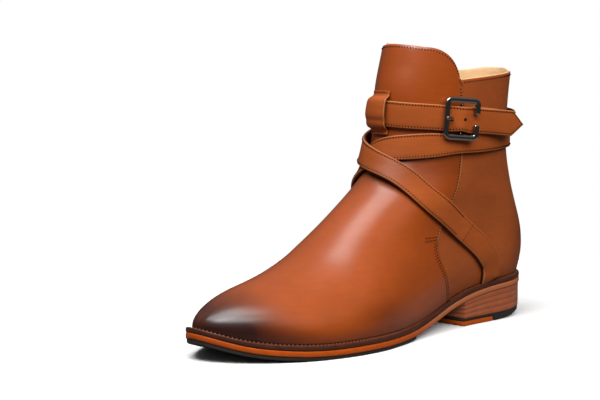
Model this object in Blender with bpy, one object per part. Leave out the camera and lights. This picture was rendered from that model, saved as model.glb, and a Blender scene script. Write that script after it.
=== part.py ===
"""A left strapped ankle boot, built as an assembly of separate solids.

Sizes are written in millimetres in boot terms: station runs from the back of the heel to the toe, side is
positive on the outer (lateral) side, height is above the floor. place() turns them into metres, with the toe
towards -Y, the outer side towards +X and the origin under the middle of the boot.
"""

import math

import bmesh
import bpy
import numpy as np

MM = 0.001

SOLE_LENGTH = 303.0
ORIGIN_STATION = 150.8
ORIGIN_SIDE = 2.9

WALL = 2.2
VAMP_STEP = 1.2
SHAFT_TURN = 4.0
INSTEP = 140.0
SEAT = 0.3
UPPER_SEAT = 0.45

WELT_THICK = 3.6
LEATHER_THICK = 3.7
FOREFOOT_THICK = 2.6
INSOLE_THICK = 3.0
WELT_REACH = 13.0

HEEL_ROUND = 37.0
TOE_START = 246.0
BREAST = 82.8
HEEL_LAYER = 1.9
HEEL_RISE = 3.0
HEEL_PIECE = 3.6
HEEL_SPLIT = 48.0
HEEL_BEVEL = 6.0
FOREFOOT_BACK = 146.0

STRAP_THICK = 2.5
POINT_LENGTH = 10.0
OVER = STRAP_THICK + 0.9
CLEAR = 0.45
FLUSH = CLEAR - VAMP_STEP

LOOP_AROUND = 187.3
LOOP_WIDTH = 17.2
LOOP_THICK = 1.6

BUCKLE_AROUND = 112.8
BUCKLE_HEIGHT = 148.0
BUCKLE_LENGTH = 26.4
BUCKLE_TALL = 30.0
BUCKLE_BAR = 4.0
BUCKLE_THICK = 3.2
BUCKLE_LEVEL = 6.15
BUCKLE_TILT = 0.15
BUCKLE_GAP = 7.8
BUCKLE_CORNER = 5.0
PIN_RADIUS = 0.9
PIN_LEVEL = 2.9

# Plan of the sole: station, line of the keel, half width of the outer side, of the inner side.
# The ends are rounded afterwards.
PLAN = (
    (0.0, 0.0, 32.6, 32.6),
    (40.0, -0.3, 32.7, 31.9),
    (75.0, -1.4, 34.6, 29.1),
    (115.0, -3.4, 41.3, 26.1),
    (150.0, -4.8, 51.6, 32.7),
    (185.0, -5.4, 60.7, 42.5),
    (215.0, -5.8, 61.3, 44.7),
    (245.0, -6.0, 54.8, 40.6),
    (272.0, -6.0, 44.7, 31.4),
    (303.0, -6.0, 35.0, 23.4),
)

# Underside of the leather sole: station, height.
UNDERSIDE = (
    (0.0, 24.6),
    (40.0, 22.8),
    (78.0, 18.5),
    (100.0, 13.5),
    (122.0, 7.4),
    (142.0, 3.8),
    (160.0, 2.65),
    (200.0, 2.5),
    (235.0, 2.5),
    (262.0, 4.3),
    (285.0, 8.3),
    (303.0, 15.0),
)

# Upper over the foot: station, margin of the welt, swell of the outer and of the inner side, roundness.
BODY = (
    (0.0, 2.5, 2.0, 2.0, 2.2),
    (60.0, 2.8, 2.5, 2.5, 2.2),
    (110.0, 3.0, 4.0, 7.0, 2.0),
    (150.0, 3.6, 2.5, 4.5, 1.9),
    (190.0, 4.2, 1.2, 2.0, 1.9),
    (225.0, 4.6, 0.8, 1.0, 2.1),
    (260.0, 5.2, 0.6, 0.6, 2.4),
    (303.0, 6.0, 0.4, 0.4, 2.6),
)

# Top line of the foot and front of the shaft in side view, from the toe up: station, height.
RIDGE = (
    (296.7, 21.0),
    (295.2, 25.6),
    (290.4, 30.0),
    (281.5, 34.7),
    (263.8, 40.2),
    (237.2, 46.0),
    (208.3, 57.3),
    (181.0, 75.6),
    (156.2, 93.4),
    (137.6, 109.6),
    (129.4, 126.5),
    (126.6, 146.5),
    (125.4, 166.0),
    (121.4, 183.0),
    (116.8, 198.6),
)

# Back line in side view, from the welt up: station, height.
BACK = (
    (1.9, 32.3),
    (-0.2, 40.0),
    (-1.5, 52.0),
    (0.1, 68.0),
    (5.6, 88.0),
    (12.2, 108.0),
    (15.6, 125.0),
    (15.5, 145.0),
    (13.6, 165.0),
    (12.0, 178.7),
)

# Shaft: height, half widths of the outer and inner side, length of the rounded front.
SHAFT = (
    (60.0, 37.0, 36.0, 76.0),
    (85.0, 37.3, 36.3, 68.0),
    (110.0, 37.4, 36.5, 60.0),
    (135.0, 37.0, 36.5, 56.0),
    (165.0, 37.0, 36.5, 56.0),
    (205.0, 37.5, 37.0, 54.0),
)

# Edge of the vamp over the quarter in side view, from the welt up: station, height.
VAMP_EDGE = (
    (99.6, 25.0),
    (105.0, 38.0),
    (112.5, 51.0),
    (116.6, 61.0),
    (113.6, 71.5),
    (102.8, 89.0),
    (94.6, 103.0),
    (90.0, 119.0),
    (88.3, 140.0),
    (88.6, 160.0),
    (90.4, 174.2),
)

# Collar of the quarter in side view, from the back to the vamp: station, height.
COLLAR = (
    (12.0, 178.7),
    (40.0, 177.5),
    (68.0, 175.9),
    (90.4, 174.2),
)

# Outer strap, from the outer welt: degrees around from the back, height, lift off the vamp, half width.
OUTER_STRAP = (
    (50.8, 31.4, FLUSH, 8.8),
    (52.6, 37.0, FLUSH, 8.8),
    (63.0, 49.5, FLUSH, 8.8),
    (74.4, 60.2, FLUSH, 8.8),
    (88.0, 71.2, -0.2, 8.8),
    (106.6, 84.7, CLEAR, 8.8),
    (130.0, 97.1, 0.8, 8.8),
    (152.0, 107.5, 3.0, 8.8),
    (174.0, 114.4, 4.0, 8.8),
    (200.0, 120.8, 4.0, 8.8),
    (235.0, 128.0, OVER, 8.8),
    (270.0, 134.0, OVER, 8.8),
    (300.0, 139.0, 2.8, 8.6),
    (328.0, 142.8, 2.4, 8.2),
    (345.0, 144.4, 2.2, 7.9),
    (362.0, 145.0, 2.1, 7.6),
    (382.0, 144.6, 2.2, 7.2),
    (412.0, 144.2, 2.4, 6.6),
    (428.0, 145.6, 2.5, 6.5),
    (440.0, 147.3, 1.5, 6.7),
    (450.0, 148.3, 0.6, 6.8),
    (460.0, 149.0, CLEAR, 7.0),
    (469.8, 149.2, CLEAR, 7.0),
)

# Inner strap, from the inner welt.
INNER_STRAP = (
    (309.2, 31.4, FLUSH, 8.8),
    (307.4, 37.0, FLUSH, 8.8),
    (297.0, 49.5, FLUSH, 8.8),
    (285.6, 60.2, FLUSH, 8.8),
    (272.0, 71.8, -0.2, 8.8),
    (253.4, 86.0, 0.6, 8.8),
    (230.0, 100.0, 0.9, 8.8),
    (210.0, 111.0, 0.9, 8.9),
    (192.0, 119.5, 0.9, 9.0),
    (175.0, 125.2, 0.7, 9.0),
    (155.0, 127.9, CLEAR, 9.1),
    (127.0, 129.8, CLEAR, 8.2),
    (112.8, 130.4, CLEAR, 7.0),
    (97.0, 131.4, CLEAR, 7.5),
    (75.0, 132.0, -0.4, 7.6),
    (50.0, 132.4, FLUSH, 7.5),
    (10.0, 132.6, FLUSH, 7.4),
    (-12.0, 133.0, FLUSH, 7.6),
    (-32.0, 134.4, FLUSH, 7.9),
    (-65.0, 138.2, FLUSH, 8.6),
    (-90.0, 141.6, CLEAR, 8.8),
    (-115.0, 145.2, CLEAR, 8.9),
    (-150.0, 149.6, CLEAR, 9.0),
    (-180.0, 151.2, CLEAR, 9.0),
    (-198.0, 150.6, CLEAR, 9.0),
    (-216.0, 149.8, CLEAR, 9.0),
    (-233.0, 148.8, CLEAR, 9.0),
    (-239.5, 148.2, 1.6, 9.0),
    (-244.5, 148.0, 4.2, 8.7),
    (-248.3, 147.7, 5.2, 8.5),
    (-253.3, 147.0, 4.2, 9.0),
    (-262.0, 146.2, 3.6, 9.0),
    (-284.0, 144.2, 5.5, 9.1),
    (-304.0, 142.2, 11.2, 9.1),
)

# Front loop, from its lower end up: height, lift off the tab.
LOOP = (
    (136.4, CLEAR),
    (139.2, CLEAR + 0.1),
    (141.0, 3.3),
    (145.6, 5.2),
    (151.2, 5.8),
    (156.8, 5.2),
    (161.4, 3.3),
    (163.4, CLEAR + 0.1),
    (166.6, CLEAR),
)

# Centre bar of the buckle, dropped between its ends: distance up from the middle, rise above its level.
PIN = (
    (-10.65, 3.0),
    (-10.05, 2.75),
    (-9.75, 1.5),
    (-9.1, 0.35),
    (-8.0, 0.0),
    (8.0, 0.0),
    (9.1, 0.35),
    (9.75, 1.5),
    (10.05, 2.75),
    (10.65, 3.0),
)

# Prong in the plane across the buckle: distance along the strap, level above the vamp.
PRONG = (
    (-1.4, 2.7),
    (-4.0, 2.0),
    (-6.2, 3.9),
    (-7.8, 6.8),
    (-9.2, 8.5),
    (-10.6, 9.3),
    (-12.6, 9.35),
)


def place(station, side, height):
    """Points in metres for boot terms in millimetres."""
    return np.stack([side - ORIGIN_SIDE, ORIGIN_STATION - station, height], axis=-1) * MM


def spline(knots, values):
    """A natural cubic curve through the rows, held level beyond its ends."""
    x = np.asarray(knots, float)
    y = np.asarray(values, float)
    n = len(x)
    h = np.diff(x)
    matrix = np.eye(n)
    right = np.zeros(n)
    for i in range(1, n - 1):
        matrix[i, i - 1 : i + 2] = h[i - 1], 2 * (h[i - 1] + h[i]), h[i]
        right[i] = 6 * ((y[i + 1] - y[i]) / h[i] - (y[i] - y[i - 1]) / h[i - 1])
    bend = np.linalg.solve(matrix, right)

    def at(t):
        t = np.clip(t, x[0], x[-1])
        k = np.clip(np.searchsorted(x, t) - 1, 0, n - 2)
        a = (x[k + 1] - t) / h[k]
        b = 1 - a
        curve = ((a**3 - a) * bend[k] + (b**3 - b) * bend[k + 1]) * h[k] ** 2 / 6
        return a * y[k] + b * y[k + 1] + curve

    return at


def line(rows, samples=600):
    """A side-view curve through the rows, as evenly spaced points along its length."""
    rows = np.asarray(rows, float)
    chord = np.concatenate([[0], np.cumsum(np.hypot(*np.diff(rows[:, :2], axis=0).T))])
    dense = np.linspace(0, chord[-1], samples)
    points = np.stack([spline(chord, column)(dense) for column in rows.T], axis=1)
    run = np.concatenate([[0], np.cumsum(np.hypot(*np.diff(points[:, :2], axis=0).T))])
    even = np.linspace(0, run[-1], samples)
    return np.stack([np.interp(even, run, column) for column in points.T], axis=1)


def along(points, share):
    """The point a given share of the way along a curve."""
    steps = np.linspace(0, 1, len(points))
    return np.stack([np.interp(share, steps, column) for column in points.T], axis=-1)


def ease(low, high, value):
    """A smooth change from 0 to 1 between two values."""
    t = np.clip((value - low) / (high - low), 0, 1)
    return t * t * (3 - 2 * t)


def columns(table):
    """A curve for each column of a table after its first."""
    rows = np.asarray(table, float)
    return [spline(rows[:, 0], column) for column in rows.T[1:]]


KEEL, PLAN_OUTER, PLAN_INNER = columns(PLAN)
(UNDER,) = columns(UNDERSIDE)
MARGIN, SWELL_OUTER, SWELL_INNER, ROUNDNESS = columns(BODY)
SHAFT_OUTER, SHAFT_INNER, SHAFT_BOW = columns(SHAFT)
RIDGE_LINE = line(RIDGE)
BACK_LINE = line(BACK)
EDGE_LINE = line(VAMP_EDGE)
COLLAR_LINE = line(COLLAR)


def feather(station):
    """Height of the seam where the upper stands on the welt."""
    return UNDER(station) + LEATHER_THICK + WELT_THICK + UPPER_SEAT


def ridge_station(height):
    return np.interp(height, RIDGE_LINE[:, 1], RIDGE_LINE[:, 0])


def ridge_height(station):
    """Height of the foot's top line; behind the instep it goes on rising at the instep's slope."""
    inside = np.interp(-station, -RIDGE_LINE[:, 0], RIDGE_LINE[:, 1])
    start = np.interp(-INSTEP, -RIDGE_LINE[:, 0], RIDGE_LINE[:, 1])
    return np.where(station < INSTEP, start + 0.95 * (INSTEP - station), inside)


def back_station(height):
    return np.interp(height, BACK_LINE[:, 1], BACK_LINE[:, 0])


def toe_round(station, inset):
    reach = np.clip((station - TOE_START) / (SOLE_LENGTH - inset - TOE_START), 0, 1)
    return np.sqrt(np.clip(1 - reach**2.15, 0, 1))


def plan_half(outer, station, inset=0.0):
    """Half width of the sole's plan on one side, moved in by an inset."""
    width = (PLAN_OUTER if outer else PLAN_INNER)(station) - inset
    reach = np.clip((HEEL_ROUND - station) / (HEEL_ROUND - inset), 0, 1)
    return width * np.sqrt(np.clip(1 - reach**2, 0, 1)) * toe_round(station, inset)


def upper_half(outer, station, height):
    """Half width of the upper on one side at a point of the side view."""
    low = feather(station)
    rise = height - low
    margin = MARGIN(station)
    sole = (PLAN_OUTER if outer else PLAN_INNER)(station) - margin
    swell = (SWELL_OUTER if outer else SWELL_INNER)(station)
    foot = (sole + swell * ease(-4, 22, rise)) * toe_round(station, margin)
    shaft = (SHAFT_OUTER if outer else SHAFT_INNER)(height)
    high = ease(62, 135, height)
    width = foot * (1 - high) + shaft * high
    back = back_station(height)
    front = ridge_station(height)
    share = np.clip(rise / np.maximum(ridge_height(station) - low, 1), 0, 1)
    dome = 1 - share ** ROUNDNESS(station)
    half = (front - back) / 2
    bow = 1 - (1 - np.clip((front - station) / SHAFT_BOW(height), 0, 1)) ** 2
    turn = ease(60, 106, height)
    fore = dome * (1 - turn) + bow * turn
    reach = (HEEL_ROUND - MARGIN(0.0)) * (1 - high) + half * high
    aft = 1 - (1 - np.clip((station - back) / reach, 0, 1)) ** 2
    return width * np.sqrt(np.clip(fore * aft, 0, 1))


def keel(station, height):
    """The line that parts the outer side from the inner; up the shaft it runs straight from back to front."""
    high = ease(80, 150, height)
    return KEEL(station) * (1 - high) - SHAFT_TURN * np.clip((station - 12) / 118, 0, 1) * high


def surface(around, height):
    """A point of the upper's outer skin, by degrees around from the back and height."""
    turn = np.radians(around)
    back = back_station(height)
    station = back + (ridge_station(height) - back) * (1 - np.cos(turn)) / 2
    outer = np.sin(turn) >= 0
    half = np.where(outer, upper_half(True, station, height), -upper_half(False, station, height))
    return np.stack([station, keel(station, height) + half, height + 0 * station], axis=-1)


def slopes(around, height):
    """Change of the skin per degree and per millimetre of height, and its outward normal."""
    across = surface(around + 0.5, height) - surface(around - 0.5, height)
    up = surface(around, height + 0.5) - surface(around, height - 0.5)
    normal = np.cross(across, up)
    normal /= np.linalg.norm(normal, axis=-1, keepdims=True)
    return across, up, -normal


def walk(around, height, move):
    """Where a step along the skin leads, taken in four parts."""
    for part in range(4):
        across, up, normal = slopes(around, height)
        aa = np.sum(across * across, axis=-1)
        au = np.sum(across * up, axis=-1)
        uu = np.sum(up * up, axis=-1)
        ma = np.sum(move * across, axis=-1) / 4
        mu = np.sum(move * up, axis=-1) / 4
        scale = aa * uu - au * au
        around = around + (ma * uu - mu * au) / scale
        height = height + (mu * aa - ma * au) / scale
    return around, height


def patch(bottom, top, left, right, across, up):
    """A side-view net between four curves."""
    a = across[None, :, None]
    v = up[:, None, None]
    b0 = along(bottom, across)[None]
    t0 = along(top, across)[None]
    l0 = left[:, None]
    r0 = right[:, None]
    corners = (1 - v) * ((1 - a) * b0[:, :1] + a * b0[:, -1:]) + v * ((1 - a) * t0[:, :1] + a * t0[:, -1:])
    return (1 - v) * b0 + v * t0 + (1 - a) * l0 + a * r0 - corners


def seam_line(start, end, samples=300):
    station = np.linspace(start, end, samples)
    return np.stack([station, feather(station)], axis=1)


def tab_line():
    """Top edge of the tab: a round corner rising from the vamp's edge, then nearly level to the front."""
    foot = EDGE_LINE[-1]
    front = RIDGE_LINE[-1]
    turn = np.linspace(0, math.pi / 2, 40)
    reach = 18.5
    rise = front[1] - 1.8 - foot[1]
    corner = np.stack([foot[0] + reach * (1 - np.cos(turn)), foot[1] + rise * np.sin(turn)], axis=1)
    level = np.linspace(corner[-1], front, 30)[1:]
    return np.concatenate([corner, level])


def footed(curve, fade):
    """A side-view curve with its foot moved onto the seam at the welt."""
    share = (1 - np.linspace(0, 1, len(curve))) ** fade
    drop = feather(curve[0, 0]) - curve[0, 1]
    return np.stack([curve[:, 0], curve[:, 1] + drop * share], axis=1)


def upper_net(rows, quarter, vamp):
    """Rings of the upper's skin, from the welt to the top, each from the back round by the outer side."""
    up = np.linspace(0, 1, rows + 1)
    back = footed(BACK_LINE, 1)
    edge = footed(EDGE_LINE, 1)
    ridge = footed(RIDGE_LINE, 6)
    back_rows = along(back, up)
    edge_rows = along(edge, up**1.1)
    ridge_rows = along(ridge, up**1.4)
    to_edge = (1 - np.cos(np.linspace(0, 1, quarter + 1) * 1.15)) / (1 - math.cos(1.15))
    to_ridge = np.sin(np.linspace(0.27, 1, vamp + 1) * math.pi / 2)
    to_ridge = (to_ridge - to_ridge[0]) / (1 - to_ridge[0])
    behind = patch(seam_line(back[0, 0], edge[0, 0]), COLLAR_LINE, back_rows, edge_rows, to_edge, up)
    ahead = patch(seam_line(edge[0, 0], ridge[0, 0]), tab_line(), edge_rows, ridge_rows, to_ridge, up)
    side_view = np.concatenate([behind, ahead[:, 1:]], axis=1)
    station = side_view[..., 0]
    height = side_view[..., 1]
    middle = keel(station, height)
    outer = upper_half(True, station, height)
    inner = upper_half(False, station, height)
    for half in (outer, inner):
        half[:, 0] = 0
        half[:, -1] = 0
    near = np.stack([station, middle + outer, height], axis=-1)
    far = np.stack([station, middle - inner, height], axis=-1)
    return np.concatenate([near, far[:, -2:0:-1]], axis=1)


def net_normals(net):
    """Outward normals of a closed net of rings."""
    round_about = np.roll(net, -1, axis=1) - np.roll(net, 1, axis=1)
    upward = np.gradient(net, axis=0)
    normal = np.cross(round_about, upward)
    normal /= np.linalg.norm(normal, axis=-1, keepdims=True)
    return -normal


def solid(name, points, faces, material):
    """One object from points in boot terms and faces, with outward faces."""
    points = np.asarray(points, float)
    mesh = bpy.data.meshes.new(name)
    mesh.from_pydata(place(points[:, 0], points[:, 1], points[:, 2]).tolist(), [], faces)
    work = bmesh.new()
    work.from_mesh(mesh)
    bmesh.ops.remove_doubles(work, verts=work.verts, dist=0.000001)
    bmesh.ops.triangulate(work, faces=work.faces)
    bmesh.ops.recalc_face_normals(work, faces=work.faces)
    work.to_mesh(mesh)
    work.free()
    thing = bpy.data.objects.new(name, mesh)
    bpy.context.scene.collection.objects.link(thing)
    mesh.materials.append(material)
    return thing


def shade(name, colour, roughness, metallic=0.0):
    material = bpy.data.materials.new(name)
    material.use_nodes = True
    shader = material.node_tree.nodes["Principled BSDF"]
    shader.inputs["Base Color"].default_value = (*colour, 1.0)
    shader.inputs["Roughness"].default_value = roughness
    shader.inputs["Metallic"].default_value = metallic
    return material


def build_upper(material):
    """The hollow shell: the vamp stands one step proud of the quarters, and the wall is even inside."""
    rows, quarter, vamp = 24, 9, 15
    net = upper_net(rows, quarter, vamp)
    normal = net_normals(net)
    count = net.shape[1]
    ring = [(j, 0.0) for j in range(0, quarter + 1)]
    ring += [(j, VAMP_STEP) for j in range(quarter, count - quarter + 1)]
    ring += [(j, 0.0) for j in range(count - quarter, count)]
    width = len(ring)
    points = []
    for i in range(rows + 1):
        points += [net[i, j] + normal[i, j] * raised for j, raised in ring]
    start = len(points)
    for i in range(rows + 1):
        points += [net[i, j] - normal[i, j] * WALL for j in range(count)]
    faces = []
    for i in range(rows):
        for k in range(width):
            m = (k + 1) % width
            faces.append((i * width + k, i * width + m, (i + 1) * width + m, (i + 1) * width + k))
        for j in range(count):
            m = (j + 1) % count
            faces.append(
                (
                    start + i * count + j,
                    start + (i + 1) * count + j,
                    start + (i + 1) * count + m,
                    start + i * count + m,
                )
            )
    for i in (0, rows):
        for k in range(width):
            m = (k + 1) % width
            a = start + i * count + ring[k][0]
            b = start + i * count + ring[m][0]
            face = [i * width + k, i * width + m, b, a] if a != b else [i * width + k, i * width + m, a]
            faces.append(face)
    return solid("upper", points, faces, material)


def stations(start, end, count, blunt_start=False, blunt_end=False):
    """Stations along a plan, close together at a rounded end."""
    t = np.linspace(0, 1, count)
    if blunt_start and blunt_end:
        share = t
    elif blunt_start:
        share = np.sin(t * math.pi / 2)
    elif blunt_end:
        share = 1 - np.cos(t * math.pi / 2)
    else:
        share = (1 - np.cos(t * math.pi)) / 2
    return start + (end - start) * share


def plate(name, where, inset, low, high, material):
    """A sheet of the sole between two heights, cut to the sole's plan moved in by an inset."""
    points = []
    for height in (low(where), high(where)):
        for outer in (True, False):
            half = plan_half(outer, where, inset)
            points += list(np.stack([where, KEEL(where) + (half if outer else -half), height], axis=1))
    n = len(where)
    faces = []
    for i in range(n - 1):
        lo, li, ho, hi = i, n + i, 2 * n + i, 3 * n + i
        faces += [(lo, lo + 1, li + 1, li), (ho, hi, hi + 1, ho + 1)]
        faces += [(lo, ho, ho + 1, lo + 1), (li, li + 1, hi + 1, hi)]
    for i in (0, n - 1):
        faces.append((i, n + i, 3 * n + i, 2 * n + i))
    return solid(name, points, faces, material)


def build_welt(material):
    """A flat strip all the way round, the upper standing on its inner part."""
    count = 64
    loops = []
    for inset in (0.0, WELT_REACH):
        where = stations(inset, SOLE_LENGTH - inset, count)
        outer = np.stack([where, KEEL(where) + plan_half(True, where, inset)], axis=1)
        inner = np.stack([where, KEEL(where) - plan_half(False, where, inset)], axis=1)
        loops.append(np.concatenate([outer, inner[-2:0:-1]]))
    n = len(loops[0])
    points = []
    for rise in (SEAT, WELT_THICK):
        for loop in loops:
            height = UNDER(loop[:, 0]) + LEATHER_THICK + rise
            points += list(np.column_stack([loop, height]))
    faces = []
    for j in range(n):
        m = (j + 1) % n
        faces += [(j, m, n + m, n + j), (2 * n + j, 3 * n + j, 3 * n + m, 2 * n + m)]
        faces += [(j, 2 * n + j, 2 * n + m, m), (n + j, n + m, 3 * n + m, 3 * n + j)]
    return solid("welt", points, faces, material)


def heel_lift(station):
    """Top of the heel rubber, a little higher towards the back."""
    back = np.clip((HEEL_SPLIT - station) / HEEL_SPLIT, 0, 1)
    return HEEL_PIECE + HEEL_LAYER + HEEL_RISE * back**1.5


def heel_tread(station):
    """Underside of the heel rubber: raised over the leather piece, bevelled at the back."""
    bevel = HEEL_BEVEL * np.clip((HEEL_SPLIT - station) / HEEL_SPLIT, 0, 1) ** 1.2
    return np.where(station > HEEL_SPLIT + 0.5, HEEL_PIECE, bevel)


def build_sole(materials):
    """Insole, leather sole, forefoot rubber and the heel under it."""
    top = LEATHER_THICK + WELT_THICK
    inside = WALL + 1.2
    where = stations(MARGIN(0.0) + inside, SOLE_LENGTH - MARGIN(SOLE_LENGTH) - inside, 34)
    inset = MARGIN(where) + inside
    inset[0] = where[0]
    inset[-1] = SOLE_LENGTH - where[-1]
    plate(
        "insole",
        where,
        inset,
        lambda s: UNDER(s) + top + SEAT,
        lambda s: UNDER(s) + top + SEAT + INSOLE_THICK,
        materials["lining"],
    )
    where = stations(0.0, SOLE_LENGTH, 44)
    plate("leather_sole", where, 0.0, UNDER, lambda s: UNDER(s) + LEATHER_THICK, materials["sole"])
    where = stations(FOREFOOT_BACK, SOLE_LENGTH - 0.8, 30, blunt_start=True)
    plate(
        "forefoot_rubber",
        where,
        0.8,
        lambda s: np.maximum(UNDER(s) - FOREFOOT_THICK * ease(FOREFOOT_BACK - 9, FOREFOOT_BACK + 3, s), 0.0),
        lambda s: UNDER(s) - SEAT,
        materials["rubber"],
    )
    where = stations(0.6, BREAST, 22, blunt_end=True)
    plate("heel_stack", where, 0.6, heel_lift, lambda s: UNDER(s) - SEAT, materials["stack"])
    rear = stations(1.0, HEEL_SPLIT, 16, blunt_end=True)
    front = stations(HEEL_SPLIT + 1.5, BREAST, 6, blunt_start=True, blunt_end=True)
    where = np.concatenate([rear, front])
    plate(
        "heel_rubber",
        where,
        1.0,
        heel_tread,
        lambda s: heel_lift(s) - SEAT,
        materials["rubber"],
    )
    where = stations(HEEL_SPLIT + 2.2, BREAST, 8, blunt_start=True, blunt_end=True)
    plate(
        "heel_leather",
        where,
        1.0,
        lambda s: 0 * s,
        lambda s: HEEL_PIECE - SEAT + 0 * s,
        materials["sole"],
    )


def strap_frame(rows, spacing):
    """Even steps along a strap: around, height, lift, half width, distance and the direction across it."""
    rows = np.asarray(rows, float)
    points = surface(rows[:, 0], rows[:, 1])
    chord = np.concatenate([[0], np.cumsum(np.linalg.norm(np.diff(points, axis=0), axis=1))])
    dense = np.linspace(0, chord[-1], 800)
    dense_rows = [spline(chord, column)(dense) for column in rows.T]
    skin = surface(dense_rows[0], dense_rows[1])
    run = np.concatenate([[0], np.cumsum(np.linalg.norm(np.diff(skin, axis=0), axis=1))])
    distance = np.linspace(0, run[-1], int(run[-1] / spacing) + 1)
    around, height, lift, half = (np.interp(distance, run, column) for column in dense_rows)
    forward = np.stack([np.gradient(column, distance) for column in surface(around, height).T], axis=1)
    forward /= np.linalg.norm(forward, axis=1, keepdims=True)
    normal = slopes(around, height)[2]
    return around, height, lift, half, distance, np.cross(normal, forward)


def band(name, around, height, lift, cross, half, thick, material, across=3):
    """A strap lying off the skin: sections of an even thickness along its run."""
    points = []
    for level in (0.0, thick):
        for c in np.linspace(-1, 1, across):
            a, h = walk(around, height, cross * (half * c)[:, None])
            points += list(surface(a, h) + slopes(a, h)[2] * (VAMP_STEP + lift + level)[:, None])
    n = len(around)
    order = list(range(across)) + list(range(2 * across - 1, across - 1, -1))
    faces = []
    for i in range(n - 1):
        for k, here in enumerate(order):
            there = order[(k + 1) % len(order)]
            faces.append((here * n + i, there * n + i, there * n + i + 1, here * n + i + 1))
    for i in (0, n - 1):
        for c in range(across - 1):
            faces.append((c * n + i, (c + 1) * n + i, (across + c + 1) * n + i, (across + c) * n + i))
    return solid(name, points, faces, material)


def build_straps(material):
    around, height, lift, half, distance, cross = strap_frame(OUTER_STRAP, 5.0)
    band("outer_strap", around, height, lift, cross, half, STRAP_THICK, material)
    around, height, lift, half, distance, cross = strap_frame(INNER_STRAP, 3.6)
    half = half * np.clip((distance[-1] - distance) / POINT_LENGTH + 0.04, 0, 1)
    strap = band("inner_strap", around, height, lift, cross, half, STRAP_THICK, material)
    rows = line([(h, lift) for h, lift in LOOP], 15)
    around = np.full(len(rows), LOOP_AROUND)
    height = rows[:, 0]
    cross = np.tile([0.0, 1.0, 0.0], (len(rows), 1))
    half = np.full(len(rows), LOOP_WIDTH / 2)
    band("front_loop", around, height, rows[:, 1], cross, half, LOOP_THICK, material, 5)
    return strap


def buckle_axes():
    """Middle of the buckle on the vamp's skin, and its directions: back along the strap, up and outward."""
    around = np.array([BUCKLE_AROUND])
    height = np.array([BUCKLE_HEIGHT])
    across, up, normal = (column[0] for column in slopes(around, height))
    outward = normal / np.linalg.norm(normal)
    backward = -across / np.linalg.norm(across)
    backward = backward + np.array([0, 0, -0.08])
    backward -= outward * np.dot(backward, outward)
    backward /= np.linalg.norm(backward)
    upward = np.cross(outward, backward)
    upward *= np.sign(upward[2])
    middle = surface(around, height)[0] + outward * VAMP_STEP
    return middle, backward, upward, outward


def tube(name, path, up, size, material):
    """A bar of rounded section along a path: size gives its width and its thickness, which runs along up."""
    path = np.asarray(path, float)
    forward = np.gradient(path, axis=0)
    forward /= np.linalg.norm(forward, axis=1, keepdims=True)
    points = []
    corners = 8
    for step, ahead in zip(path, forward):
        thick = up - ahead * np.dot(up, ahead)
        thick /= np.linalg.norm(thick)
        wide = np.cross(ahead, thick)
        for k in range(corners):
            turn = (k + 0.5) * 2 * math.pi / corners
            points.append(
                step + wide * math.cos(turn) * size[0] * 0.54 + thick * math.sin(turn) * size[1] * 0.54
            )
    faces = []
    for i in range(len(path) - 1):
        for k in range(corners):
            m = (k + 1) % corners
            faces.append((i * corners + k, i * corners + m, (i + 1) * corners + m, (i + 1) * corners + k))
    last = (len(path) - 1) * corners
    faces.append(tuple(range(corners - 1, -1, -1)))
    faces.append(tuple(last + k for k in range(corners)))
    return solid(name, points, faces, material)


def build_buckle(material, strap):
    middle, backward, upward, outward = buckle_axes()

    def at(a, b, n):
        return middle + backward * a + upward * b + outward * (n + BUCKLE_TILT * a)

    reach_a = BUCKLE_LENGTH / 2 - BUCKLE_BAR / 2
    reach_b = BUCKLE_TALL / 2 - BUCKLE_BAR / 2
    corner = BUCKLE_CORNER - BUCKLE_BAR / 2
    flat = [(reach_a, BUCKLE_GAP / 2)]
    for sign_a, sign_b, start in ((1, 1, 0), (-1, 1, 90), (-1, -1, 180), (1, -1, 270)):
        centre = (sign_a * (reach_a - corner), sign_b * (reach_b - corner))
        for step in range(5):
            turn = math.radians(start + 22.5 * step)
            flat.append((centre[0] + corner * math.cos(turn), centre[1] + corner * math.sin(turn)))
    flat.append((reach_a, -BUCKLE_GAP / 2))
    path = [at(a, b, BUCKLE_LEVEL) for a, b in flat]
    tube("buckle_frame", path, outward, (BUCKLE_BAR, BUCKLE_THICK), material)
    pin = [at(0, b, PIN_LEVEL + rise) for b, rise in PIN]
    tube("buckle_pin", pin, outward, (2 * PIN_RADIUS, 2 * PIN_RADIUS), material)
    tongue = [at(a, 0, n) for a, n in line(PRONG, 14)]
    tube("buckle_prong", tongue, upward, (2.0, 2.3), material)
    hole = [at(a, 0, n) for a, n in ((-4.4, 0.6), (-6.5, 3.6), (-8.4, 6.6), (-9.6, 8.4))]
    cutter = tube("prong_hole", hole, upward, (4.4, 3.6), material)
    cutter.hide_render = True
    cutter.display_type = "WIRE"
    cut = strap.modifiers.new("prong hole", "BOOLEAN")
    cut.operation = "DIFFERENCE"
    cut.solver = "EXACT"
    cut.object = cutter


def main():
    for thing in list(bpy.data.objects):
        bpy.data.objects.remove(thing)
    leather = shade("burnished calf", (0.38, 0.15, 0.05), 0.35)
    materials = {
        "lining": shade("lining calf", (0.62, 0.42, 0.26), 0.6),
        "sole": shade("oak bark leather", (0.55, 0.24, 0.08), 0.45),
        "rubber": shade("black rubber", (0.03, 0.03, 0.03), 0.7),
        "stack": shade("stained heel leather", (0.28, 0.14, 0.07), 0.4),
    }
    welt = shade("stained welt leather", (0.16, 0.07, 0.03), 0.45)
    steel = shade("dark plated metal", (0.12, 0.12, 0.13), 0.28, 1.0)
    build_upper(leather)
    build_welt(welt)
    build_sole(materials)
    strap = build_straps(leather)
    build_buckle(steel, strap)


if __name__ == "__main__":
    main()
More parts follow.
